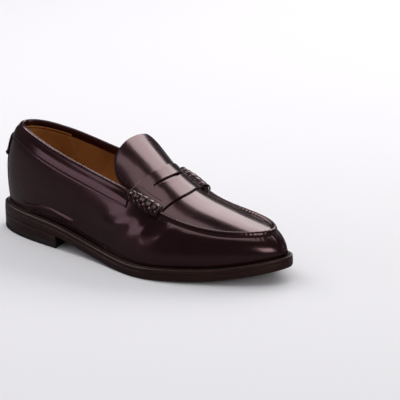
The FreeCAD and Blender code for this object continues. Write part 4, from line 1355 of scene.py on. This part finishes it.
@dataclass
class Collar:
    """The band folded over the topline, the back strip and the heel tab."""

    last: Last = field(default_factory=lambda: LAST)
    width: float = 13.5
    inside: float = 5.0
    thickness: float = 0.8
    strip_width: float = 13.0
    tab_width: float = 15.0
    tab_length: float = 22.0
    groove_share: float = 0.865
    end_narrowing: float = 0.16
    end_gap: float = 4.2
    stitch_gap: float = 6.0

    def section(self, ts: np.ndarray, extra: float) -> np.ndarray:
        """The band's section at each t: down the outside, round the top, down the inside."""
        last = self.last
        gap = 2 * last.glue
        stack = last.leather + last.stiffener + last.lining + 2 * last.glue
        ends = smooth_step((np.abs(ts) - 3.55) / 0.55)
        top_out = gap + 0.3 * extra
        top_in = gap - stack - 0.3 * extra
        rows = []
        for share in spaced(1.0, 0.0, 16):
            down = self.width * share * (1 - self.end_narrowing * ends)
            v = np.concatenate([last.below_edge(t, d) for t, d in zip(ts, down)])
            grown = float(smooth_step(np.array(share * 2.2)))
            groove = 0.30 * math.exp(-((share - self.groove_share) / 0.03) ** 2)
            rise = top_out + (0.7 * extra + 0.15) * grown - groove
            rows.append(last.on_wall(ts, v, np.full(len(ts), rise)))
        one = np.full(len(ts), 1.0)
        face = last.facing(ts, one)
        upward = unit_length(last.wall(ts, one) - last.wall(ts, one * 0.97))
        centre = last.wall(ts, one) + face * (top_out + top_in) / 2
        half = (top_out - top_in) / 2
        for turn in spaced(0, math.pi, 15):
            rows.append(centre + face * math.cos(turn) * half
                        + upward * (0.9 * math.sin(turn) ** 0.6 + math.sin(turn) * half * 1.15))
        for share in spaced(0.15, 1.0, 6):
            v = last.below_edge(ts, self.inside * share)
            rows.append(last.on_wall(ts, v, np.full(len(ts), top_in - 0.9 * extra * share)))
        return np.array(rows).transpose(1, 0, 2)

    def build_band(self) -> bpy.types.Object:
        """The collar band."""
        last = self.last
        end = last.t_at(last.edge, last.strap_rear - self.end_gap, 3, 5)
        ts = spaced(-end, end, 330)
        over = self.section(ts, self.thickness)
        wave = 0.14 * value_noise(over, 14, 21.0)
        over[..., 2] += wave
        piece = sheet_between("collar_band_leather", over, self.section(ts, 0.0))
        bevel(piece, 0.45, 2)
        return dress(piece, UPPER, replaced=("collar_band",))

    def build_band_stitches(self) -> bpy.types.Object:
        """The row of sewing along the band's lower edge."""
        last = self.last
        end = last.t_at(last.edge, last.strap_rear - self.stitch_gap, 3, 5)
        ts = spaced(-end, end, 400)
        ends = smooth_step((np.abs(ts) - 3.55) / 0.55)
        down = self.width * self.groove_share * (1 - self.end_narrowing * ends)
        v = np.concatenate([last.below_edge(t, d) for t, d in zip(ts, down)])
        rise = 2 * last.glue + self.thickness + 0.1
        line = last.on_wall(ts, v, np.full(len(ts), rise))
        return sew(StitchRow("collar_stitches", line, 2.3, 1.8, 0.5), DARK_THREAD)

    def reach(self, width: float) -> float:
        """Half a width at the back of the heel, as a parameter."""
        last = self.last
        span = np.linalg.norm(last.wall(np.array(0.2), np.array(0.5))
                              - last.wall(np.array(-0.2), np.array(0.5)))
        return 0.2 * width / float(span)

    def build_strip(self) -> bpy.types.Object:
        """The back strip, with a raised line along each edge."""
        last = self.last
        half = self.reach(self.strip_width)
        shares = spaced(-1, 1, 33)
        ts = shares * half
        tops = last.below_edge(ts, self.width - 1.0)
        vs = 0.012 + (tops - 0.012)[:, None] * spaced(0, 1, 70)[None, :]
        t2 = np.broadcast_to(ts[:, None], vs.shape)
        lines = (0.75 * np.exp(-((np.abs(shares) - 0.80) / 0.07) ** 2)
                 - 0.45 * np.exp(-((np.abs(shares) - 0.62) / 0.06) ** 2)
                 + 0.18 * np.exp(-(shares / 0.10) ** 2))
        rise = 0.2 + 1.0 + lines[:, None] + 0 * vs
        over = last.on_wall(t2, vs, rise)
        below = last.on_wall(t2, vs, np.full(vs.shape, 0.15))
        piece = sheet_between("back_strip_leather", over, below)
        bevel(piece, 0.35)
        return dress(piece, UPPER, replaced=("back_strip",))

    def build_strip_stitches(self) -> None:
        """The rows of sewing down both edges of the back strip."""
        last = self.last
        half = self.reach(self.strip_width)
        for name, share in (("strip_stitches_outer", 0.62), ("strip_stitches_inner", -0.62)):
            t = half * share
            vs = spaced(0.05, float(last.below_edge(t, self.width + 1.0)[0]), 120)
            line = last.on_wall(np.full(120, t), vs, np.full(120, 1.1))
            sew(StitchRow(name, line, 2.4, 1.8, 0.45), DARK_THREAD)

    def build_tab(self) -> bpy.types.Object:
        """The heel tab: it hangs from the band and ends in a small roll."""
        last = self.last
        half = self.reach(self.tab_width)
        shares = spaced(-1, 1, 33)
        rows = spaced(0, 1, 60)
        low = self.width + self.tab_length
        grid_over, grid_below = [], []
        for share in shares:
            bow = 2.2 * (1 - abs(share) ** 3)
            distances = (self.width - 2.2) + (low - self.width + 2.2 - 3.0 + bow) * (1 - rows)
            t = share * half * (1 - 0.10 * (1 - rows))
            v = np.array([float(last.below_edge(tt, d)[0]) for tt, d in zip(t, distances)])
            roll = 1.3 * np.exp(-(((1 - rows) - 0.90) / 0.085) ** 2)
            rim = 0.25 * math.exp(-((abs(share) - 0.84) / 0.07) ** 2)
            drop = 0.7 * smooth_step((rows - 0.86) / 0.14)
            grid_over.append(last.on_wall(t, v, 2.45 + roll + rim - drop))
            grid_below.append(last.on_wall(t, v, np.full(len(v), 1.35) - drop))
        piece = sheet_between("heel_tab_leather", np.array(grid_over), np.array(grid_below))
        bevel(piece, 0.4)
        return dress(piece, UPPER, replaced=("heel_tab",))

    def build_tab_stitches(self) -> None:
        """The bar of sewing that holds the tab's lower end."""
        last = self.last
        half = self.reach(self.tab_width) * 0.8
        for index, distance in enumerate((self.width + self.tab_length - 8.0,
                                          self.width + self.tab_length - 6.2)):
            ts = spaced(-half, half, 40)
            v = last.below_edge(ts, distance)
            line = last.on_wall(ts, v, np.full(40, 2.75))
            sew(StitchRow(f"tab_bar_{index + 1}", line, 1.5, 1.3, 0.6), DARK_THREAD)

    def build(self) -> None:
        """Builds the band, the strip and the tab with their sewing."""
        self.build_band()
        self.build_band_stitches()
        self.build_strip()
        self.build_strip_stitches()
        self.build_tab()
        self.build_tab_stitches()


# ---------------------------------------------------------------- apron and seams


@dataclass
class Apron:
    """The apron, its lining, the rolled seam round it and the seam down the toe."""

    last: Last = field(default_factory=lambda: LAST)
    inset: float = 1.2
    seam_pitch: float = 3.6
    seam_half: float = 3.1
    seam_height: float = 3.1
    rear_gap: float = 9.0
    lining_rear_gap: float = 10.0
    lining_inset: float = 6.0
    lining_gap: float = 1.4
    seam_start: float = 3.0

    def skin(self, name: str, inset: float, rear: float, rise: float,
             thickness: float) -> bpy.types.Object:
        """A sheet over the forepart, bounded by the apron seam."""
        last = self.last
        start = last.t_at(last.edge, rear, 3, 6)
        steps = np.sin(spaced(0, math.pi / 2, 90))
        ts = start + (TOE - start) * steps
        outer = last.edge.at(ts) - last.edge.outward(ts) * inset
        inner = last.edge.at(TURN - ts) - last.edge.outward(TURN - ts) * inset
        inner[-1] = outer[-1]
        shares = spaced(0, 1, 49)[None, :, None]
        flat = outer[:, None] * (1 - shares) + inner[:, None] * shares
        x, y = flat[..., 0], flat[..., 1]
        soft = 0.10 * value_noise(flat, 24, 5.5) + 0.05 * value_noise(flat, 9, 1.2)
        over = last.on_instep(x, y, rise + soft)
        below = last.on_instep(x, y, rise + soft - thickness)
        return sheet_between(name, over, below)

    def build_apron(self) -> None:
        """The apron itself and its lining."""
        last = self.last
        apron = self.skin("apron_leather", self.inset, last.strap_rear + self.rear_gap, 0.0,
                          last.leather)
        dress(apron, UPPER, replaced=("apron",))
        lining = self.skin("apron_lining_leather", self.lining_inset,
                           last.strap_rear + self.lining_rear_gap,
                           -last.leather - last.stiffener - self.lining_gap, last.lining)
        dress(lining, LINING, replaced=("apron_lining",))

    def seam_frame(self, ts: np.ndarray) -> tuple[np.ndarray, np.ndarray, np.ndarray]:
        """The seam's line, the direction it stands up in and the direction of the apron."""
        last = self.last
        face = unit_length(last.facing(ts, np.full(len(ts), 0.99)) + np.array([0, 0, 1.0]))
        inward = -last.edge.outward(ts)
        flat = unit_length(inward - face * np.sum(inward * face, axis=1)[:, None])
        return last.edge.at(ts), face, flat

    def build_seam(self) -> bpy.types.Object:
        """The rolled seam: a pinched ridge, drawn in at every stitch."""
        last = self.last
        start = last.t_at(last.edge, last.strap_front - self.seam_start, 3, 6)
        ts = spaced(start, TURN - start, 760)
        line, face, flat = self.seam_frame(ts)
        run = np.r_[0, np.linalg.norm(np.diff(line, axis=0), axis=1).cumsum()]
        pinch = 0.5 + 0.5 * np.cos(run * 2 * math.pi / self.seam_pitch)
        section = [(-1.0, -0.9, 0.0), (-0.94, 0.08, 0.10), (-0.80, 0.40, 0.26),
                   (-0.60, 0.76, 0.30), (-0.36, 1.0, 0.20), (-0.10, 1.06, 0.14),
                   (0.14, 0.98, 0.18), (0.34, 0.74, 0.34), (0.52, 0.44, 0.40),
                   (0.72, 0.26, 0.22), (0.92, 0.12, 0.06), (1.06, -0.10, 0.0),
                   (1.08, -0.5, 0.0)]
        grow = 0.82 + 0.18 * smooth_step((line[:, 0] - 60) / 60)
        rows = []
        for across, rise, drawn in section:
            height = (self.seam_height * rise - drawn * pinch * 0.9) * grow + 0.25
            rows.append(line + flat * (across * self.seam_half) + face * height[:, None])
        rows.append(line - face * 0.6)
        piece = bar("apron_seam_roll", np.array(rows).transpose(1, 0, 2))
        return dress(piece, UPPER, replaced=("moc_seam",))

    def build_seam_stitches(self) -> bpy.types.Object:
        """Hand sewing along the inner face of the rolled seam."""
        last = self.last
        start = last.t_at(last.edge, last.strap_front + 1.0, 3, 6)
        ts = spaced(start, TURN - start, 420)
        line, face, flat = self.seam_frame(ts)
        line = line + flat * (0.62 * self.seam_half) + face * (0.58 * self.seam_height)
        return sew(StitchRow("apron_seam_stitches", line, self.seam_pitch, 2.2, 0.55), DARK_THREAD)

    def build_toe_seam(self) -> bpy.types.Object:
        """Three raised lines down the toe, which spread a little towards the welt."""
        last = self.last
        shares = spaced(-1, 1, 61)
        rows = spaced(0, 1, 120)
        unit = float(np.linalg.norm(last.wall(np.array(TOE + 0.2), np.array(0.5))
                                    - last.wall(np.array(TOE - 0.2), np.array(0.5))))
        top = float(last.below_edge(TOE, 1.0)[0])
        over, below = [], []
        for share in shares:
            half = 0.4 / unit * (3.9 - 1.2 * rows)
            t = TOE + share * half
            v = 0.012 + (top - 0.012) * rows
            ripple = 0.06 * np.cos(rows * 2 * math.pi * 12)
            ribs = 0.5 + 0.5 * math.cos(share * 3 * math.pi)
            fall = 1 - abs(share) ** 4
            height = 0.15 + fall * (0.45 + 1.35 * ribs + ripple)
            over.append(last.on_wall(t, v, height))
            below.append(last.on_wall(t, v, np.full(len(v), -0.3)))
        piece = sheet_between("toe_seam_lines", np.array(over), np.array(below))
        return dress(piece, UPPER, replaced=("toe_seam",))

    def build(self) -> None:
        """Builds the forepart's top."""
        self.build_apron()
        self.build_seam()
        self.build_seam_stitches()
        self.build_toe_seam()


# ---------------------------------------------------------------- strap


@dataclass
class Strap:
    """The strap over the instep: its slit, its folded edges and its two sewn rolls."""

    last: Last = field(default_factory=lambda: LAST)
    thickness: float = 2.2
    lift: float = 0.3
    rear_arc: tuple = (19.98, 0.0, 0.00546)
    front_arc: tuple = (50.5, -0.0702, 0.00546)
    slit_half: float = 22.0
    slit_open: float = 1.5
    slit_middle: float = 31.3
    slit_bow: float = 2.9
    roll_half: float = 7.1
    roll_height: float = 4.9
    wraps: int = 5
    roll_lift: float = 1.1
    underside: float = 0.45
    cord_seat: float = 0.87
    cord_lean: float = 0.9
    roll_overhang: float = 5.5
    tick_inset: float = 8.5

    def rear_line(self, y: np.ndarray) -> np.ndarray:
        """The strap's rear edge: its length at each y."""
        at, slant, bow = self.rear_arc
        return at + slant * y - bow * y**2

    def front_line(self, y: np.ndarray) -> np.ndarray:
        """The strap's front edge."""
        at, slant, bow = self.front_arc
        return at + slant * y - bow * y**2

    def build_strap(self) -> bpy.types.Object:
        """The strap, with the slit cut through and every edge folded round."""
        last = self.last
        middle = float(last.middle.at(31.5))
        outer = float(last.edge_y(30.0, Side.OUTER)) + 0.5
        inner = float(last.edge_y(30.0, Side.INNER)) - 0.5
        cut = spaced(-self.slit_half, self.slit_half, 57) + middle
        ys = np.concatenate([spaced(outer, cut[0], 22)[:-1], cut, spaced(cut[-1], inner, 22)[1:]])
        off = ys - middle
        gap = np.clip(1 - (off / self.slit_half) ** 2, 0, None) * self.slit_open
        centre = self.slit_middle - self.slit_bow * np.minimum((off / self.slit_half) ** 2, 1.3)
        rear, front = self.rear_line(off), self.front_line(off)
        surface = Surface()
        halves = ((rear, centre - gap), (centre + gap, front))
        for near, far in halves:
            xs = near[:, None] + (far - near)[:, None] * spaced(0, 1, 17)[None, :]
            y2 = np.broadcast_to(ys[:, None], xs.shape)
            soft = 0.12 * value_noise(np.stack([xs, y2, 0 * xs], -1), 17, 9.4)
            lip = 0.35 * np.exp(-((xs - centre[:, None]) / 2.6) ** 2) * (gap > 0)[:, None]
            surface.add_grid(last.on_instep(xs, y2, self.lift + self.thickness + soft + lip))
        piece = surface.make("strap_leather")
        solid = piece.modifiers.new("thickness", "SOLIDIFY")
        solid.thickness = self.thickness * MM
        solid.offset = -1
        bake_modifiers(piece)
        bevel(piece, 0.75, 3, 60)
        return dress(piece, UPPER, replaced=("strap",))

    def build_roll(self, side: Side) -> bpy.types.Object:
        """The strap's end, drawn into a roll by thick wraps of thread."""
        start, end = self.span(side)
        shares = spaced(0, 1, 150)
        ts = start + (end - start) * shares
        ts = ts if side is Side.OUTER else TURN - ts
        line, face, flat = self.frame(ts)
        pinch = np.abs(np.cos(math.pi * self.wraps * shares)) ** 6
        cap = np.sqrt(np.clip(1 - (2 * shares - 1) ** 10, 0.02, 1))
        size = (1 - 0.24 * pinch) * cap * (0.78 + 0.24 * smooth_step(shares * 1.6))
        angles = np.linspace(0, 2 * math.pi, 40, endpoint=False)
        rows = []
        for angle in angles:
            wide = self.roll_half * math.cos(angle)
            tall = self.roll_height * math.sin(angle)
            if tall < 0:
                tall *= self.underside
            lift = tall * size + self.roll_lift
            offset = flat * (wide * size)[:, None] + face * lift[:, None]
            rows.append(line + offset)
        grid = np.array(rows).transpose(1, 0, 2)
        grid = grid + 0.10 * value_noise(grid, 6, 2.0)[..., None] * face[:, None]
        name = "strap_roll_outer" if side is Side.OUTER else "strap_roll_inner"
        node = "strap_wrap_lateral" if side is Side.OUTER else "strap_wrap_medial"
        return dress(bar(name, grid), UPPER, replaced=(node,))

    def span(self, side: Side) -> tuple[float, float]:
        """The parameters where the roll starts and ends."""
        last = self.last
        front = 0.5 if side is Side.OUTER else 3.0
        return (last.t_at(last.edge, last.strap_rear - self.roll_overhang, 3, 6),
                last.t_at(last.edge, last.strap_front - front, 3, 6))

    def frame(self, ts: np.ndarray) -> tuple[np.ndarray, np.ndarray, np.ndarray]:
        """The roll's line, the way it stands up and the way across it."""
        last = self.last
        face = unit_length(last.facing(ts, np.full(len(ts), 0.97)) + np.array([0, 0, 0.75]))
        inward = -last.edge.outward(ts)
        flat = unit_length(inward - face * np.sum(inward * face, axis=1)[:, None])
        return last.edge.at(ts) + flat * 0.6, face, flat

    def build_wraps(self, side: Side) -> bpy.types.Object:
        """The wraps of thread round the roll, one in each groove."""
        start, end = self.span(side)
        surface = Surface()
        angles = np.linspace(0, 2 * math.pi, 36, endpoint=False)
        rounds = np.linspace(0, 2 * math.pi, 8, endpoint=False)
        for index in range(self.wraps + 1):
            share = min(max(index / self.wraps, 0.03), 0.97)
            grown = self.cord_seat * (0.78 + 0.24 * float(smooth_step(np.array(share * 1.6))))
            t = start + (end - start) * share
            t = t if side is Side.OUTER else TURN - t
            ts = np.array([t, t + 0.01 if side is Side.OUTER else t - 0.01])
            line, face, flat = self.frame(ts)
            run = unit_length(line[1] - line[0])
            loop = []
            for angle in angles:
                out = flat[0] * math.cos(angle) * self.roll_half * grown
                tall = math.sin(angle) * self.roll_height * grown
                tall = tall if tall > 0 else tall * self.underside
                loop.append(line[0] + out + face[0] * (tall + self.roll_lift))
            loop = np.array(loop)
            lean = run * self.cord_lean * np.sin(angles)[:, None]
            normal = unit_length(loop - loop.mean(axis=0))
            grid = np.array([
                loop + lean + normal * (0.8 * math.cos(turn)) + run * (0.9 * math.sin(turn))
                for turn in rounds
            ])
            surface.add_grid(grid, wrap_rows=True, wrap_columns=True)
        name = "roll_thread_outer" if side is Side.OUTER else "roll_thread_inner"
        return dress(surface.make(name), ROLL_CORD)

    def build_ticks(self, side: Side) -> bpy.types.Object:
        """A row of short stitches along the roll's upper border."""
        last = self.last
        start = last.t_at(last.edge, last.strap_rear + 2.0, 3, 6)
        end = last.t_at(last.edge, last.strap_front - 4.0, 3, 6)
        ts = spaced(start, end, 60)
        ts = ts if side is Side.OUTER else TURN - ts
        points = last.edge.at(ts) - last.edge.outward(ts) * self.tick_inset
        line = last.on_instep(points[:, 0], points[:, 1], self.lift + self.thickness + 0.25)
        name = "strap_end_stitches_outer" if side is Side.OUTER else "strap_end_stitches_inner"
        return sew(StitchRow(name, line, 2.3, 1.8, 0.75), DARK_THREAD)

    def build(self) -> None:
        """Builds the strap and both rolls."""
        self.build_strap()
        for side in Side:
            self.build_roll(side)
            self.build_wraps(side)
            self.build_ticks(side)


# ---------------------------------------------------------------- tongue


@dataclass
class Tongue:
    """The tongue and its lining, which reach back from under the strap."""

    last: Last = field(default_factory=lambda: LAST)
    tip: float = -12.5
    base: float = 25.0
    half: float = 33.5
    flare: float = 3.5
    shift: float = 0.5
    skew: float = 2.0
    corner: float = 15.0
    stitch_inset: float = 1.8
    bend_start: float = 21.0
    bend_end: float = 9.0

    def skin(self, name: str, inset: float, rise: float, thickness: float) -> bpy.types.Object:
        """A sheet with the tongue's outline."""
        last = self.last
        middle = float(last.middle.at(last.strap_rear)) + self.shift
        tip = self.tip + inset
        xs = self.base - inset + (tip - self.base + inset) * (1 - (1 - spaced(0, 1, 70)) ** 1.6)
        share = np.clip((self.base - xs) / (self.base - self.tip - self.corner), 0, 1)
        half = self.half - inset + self.flare * share
        past = np.clip((tip + self.corner - xs) / self.corner, 0, 1)
        half = half - self.corner * (1 - np.sqrt(1 - past**2 * 0.999))
        shares = spaced(-1, 1, 61)[None, :]
        y = middle + half[:, None] * shares
        x = np.broadcast_to(xs[:, None], y.shape)
        x = x - (1.0 * (1 - shares**2) + 0.5 * self.skew * shares) * past[:, None]
        flat = np.stack([x, y, 0 * x], -1)
        soft = 0.22 * value_noise(flat, 26, 4.4) + 0.06 * value_noise(flat, 8, 8.8)
        edge = np.abs(shares) ** 10 * 0.5 * smooth_step((8 - xs[:, None]) / 12)
        over = last.on_instep(x, y, rise + soft + edge)
        below = last.on_instep(x, y, rise + soft + edge - thickness)
        return sheet_between(name, over, below)

    def blend(self, piece: bpy.types.Object, finish: Finish, replaced: tuple = ()) -> None:
        """Gives a piece its finish, bakes its transform and hides the CAD nodes that it replaces.
        """
        last = self.last
        clothe(piece, finish)
        middle = float(last.middle.at(last.strap_rear))
        start = last.on_instep(self.bend_start, middle)
        end = last.on_instep(self.bend_end, middle)
        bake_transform(piece)
        if replaced:
            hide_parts(*replaced)
        log.info("%s: blended", piece.name)

    def build_stitches(self) -> bpy.types.Object:
        """The fine sewing round the tongue's edge."""
        last = self.last
        middle = float(last.middle.at(last.strap_rear)) + self.shift
        wide = self.half + self.flare - self.stitch_inset
        corner = self.corner - self.stitch_inset
        tip = self.tip + self.stitch_inset
        turns = spaced(0, math.pi / 2, 24)
        straight = [(x, wide - self.flare * (x - 3) / 22) for x in spaced(14, tip + corner, 20)]
        bend = [(tip + corner * (1 - math.sin(a)), wide - corner * (1 - math.cos(a)))
                for a in turns]
        half_line = straight + bend
        outline = [(x + 0.5 * self.skew * (x < 0), middle - y) for x, y in half_line]
        outline += [(x - 0.5 * self.skew * (x < 0), middle + y) for x, y in reversed(half_line)]
        points = np.array(outline)
        line = last.on_instep(points[:, 0], points[:, 1], 0.32)
        row = StitchRow("tongue_edge_stitches", line, 2.2, 1.7, 0.45)
        return row.build(DARK_THREAD.build())

    def build(self) -> None:
        """Builds the tongue, its lining and its sewing."""
        last = self.last
        tongue = self.skin("tongue_leather", 0.0, 0.0, last.leather)
        bevel(tongue, 0.4)
        self.blend(tongue, UPPER, ("tongue",))
        lining = self.skin("tongue_lining_leather", 1.0, -last.leather - 0.05, last.lining)
        bevel(lining, 0.25)
        self.blend(lining, LINING, ("tongue_lining",))
        self.blend(self.build_stitches(), DARK_THREAD)


# ---------------------------------------------------------------- studio


@dataclass
class Studio:
    """A pale floor, soft lights and the camera."""

    target: tuple = (57.08, 8.28, 56.98)
    azimuth: float = 34.67
    elevation: float = 18.01
    distance: float = 2501.4
    focal: float = 259.97

    def floor(self) -> None:
        """A wide pale floor, painted dark for glossy rays: a painted dark reflection in the
        leather.
        """
        mesh = bpy.data.meshes.new("floor")
        reach = 12.0
        mesh.from_pydata([(-reach, -reach, 0), (reach, -reach, 0), (reach, reach, 0),
                          (-reach, reach, 0)], [], [(0, 1, 2, 3)])
        piece = bpy.data.objects.new("floor", mesh)
        bpy.context.scene.collection.objects.link(piece)
        material = bpy.data.materials.new("pale_floor")
        material.use_nodes = True
        shader = material.node_tree.nodes["Principled BSDF"]
        nodes = Nodes(material.node_tree)
        # Pale to the camera, dark to glossy rays: a painted dark reflection of the floor.
        path = nodes.add("ShaderNodeLightPath")
        floor_colour_dark_in_reflections = nodes.blend(path.outputs["Is Glossy Ray"], rgb(0.86, 0.86, 0.875),
                            rgb(0.13, 0.125, 0.13))
        material.node_tree.links.new(floor_colour_dark_in_reflections, shader.inputs["Base Color"])
        shader.inputs["Roughness"].default_value = 0.85
        shader.inputs["Specular IOR Level"].default_value = 0.1
        mesh.materials.append(material)

    def light(self, name: str, place: tuple, size: tuple, power: float, colour: tuple) -> None:
        """A soft rectangular light that points at the shoe."""
        data = bpy.data.lights.new(name, "AREA")
        data.shape = "RECTANGLE"
        data.size, data.size_y = size
        data.energy = power
        data.color = colour
        lamp = bpy.data.objects.new(name, data)
        lamp.location = place
        aim = Vector((0, 0, 0.05)) - Vector(place)
        lamp.rotation_euler = aim.to_track_quat("-Z", "Y").to_euler()
        bpy.context.scene.collection.objects.link(lamp)

    def lights(self) -> None:
        """A broad box behind, one overhead, a strip on the left and two soft glows in front."""
        self.light("back_box", (0.0, 1.30, 1.05), (1.7, 0.85), 13.5, (1.0, 0.96, 0.97))
        self.light("overhead", (0.1, -0.1, 1.6), (1.0, 0.9), 3.5, (0.98, 0.97, 1.0))
        self.light("left_strip", (-0.95, 0.05, 1.15), (0.35, 0.9), 5.0, (1.0, 0.96, 0.97))
        self.light("front_glow", (-1.15, -1.35, 0.52), (0.95, 0.65), 1.9, (0.97, 0.86, 1.0))
        self.light("toe_glow", (1.8, -0.75, 0.80), (0.9, 0.6), 6.0, (1.0, 0.95, 0.95))
        world = bpy.data.worlds.new("studio")
        bpy.context.scene.world = world
        world.use_nodes = True
        back = world.node_tree.nodes["Background"]
        back.inputs["Color"].default_value = rgb(0.90, 0.91, 0.93)
        nodes = Nodes(world.node_tree)
        path = nodes.add("ShaderNodeLightPath")
        strength = nodes.ramp(path.outputs["Is Glossy Ray"], 0.0, 1.0, 0.47, 0.05)
        world.node_tree.links.new(strength, back.inputs["Strength"])

    def camera(self) -> None:
        """The long lens, seen from the outer side and a little above."""
        data = bpy.data.cameras.new("camera")
        data.lens = self.focal
        data.sensor_width = 36
        data.clip_end = 50
        eye = bpy.data.objects.new("camera", data)
        a, e = math.radians(self.azimuth), math.radians(self.elevation)
        back = Vector((math.sin(a) * math.cos(e), -math.cos(a) * math.cos(e), math.sin(e)))
        eye.location = (Vector(self.target) + back * self.distance) * MM
        eye.rotation_euler = (-back).to_track_quat("-Z", "Y").to_euler()
        bpy.context.scene.collection.objects.link(eye)
        bpy.context.scene.camera = eye

    def build(self) -> None:
        """Sets the scene."""
        self.floor()
        self.lights()
        self.camera()
        view = bpy.context.scene.view_settings
        view.view_transform = "Standard"
        view.exposure = 0.0


def main() -> None:
    """Builds every sub-assembly in order."""
    logging.basicConfig(level=logging.INFO, format="%(name)s: %(message)s")
    for part in (Bottom(), Sides(), Linings(), Collar(), Apron(), Strap(), Tongue(), Studio()):
        log.info("building %s", type(part).__name__)
        part.build()


if __name__ == "__main__":
    main()
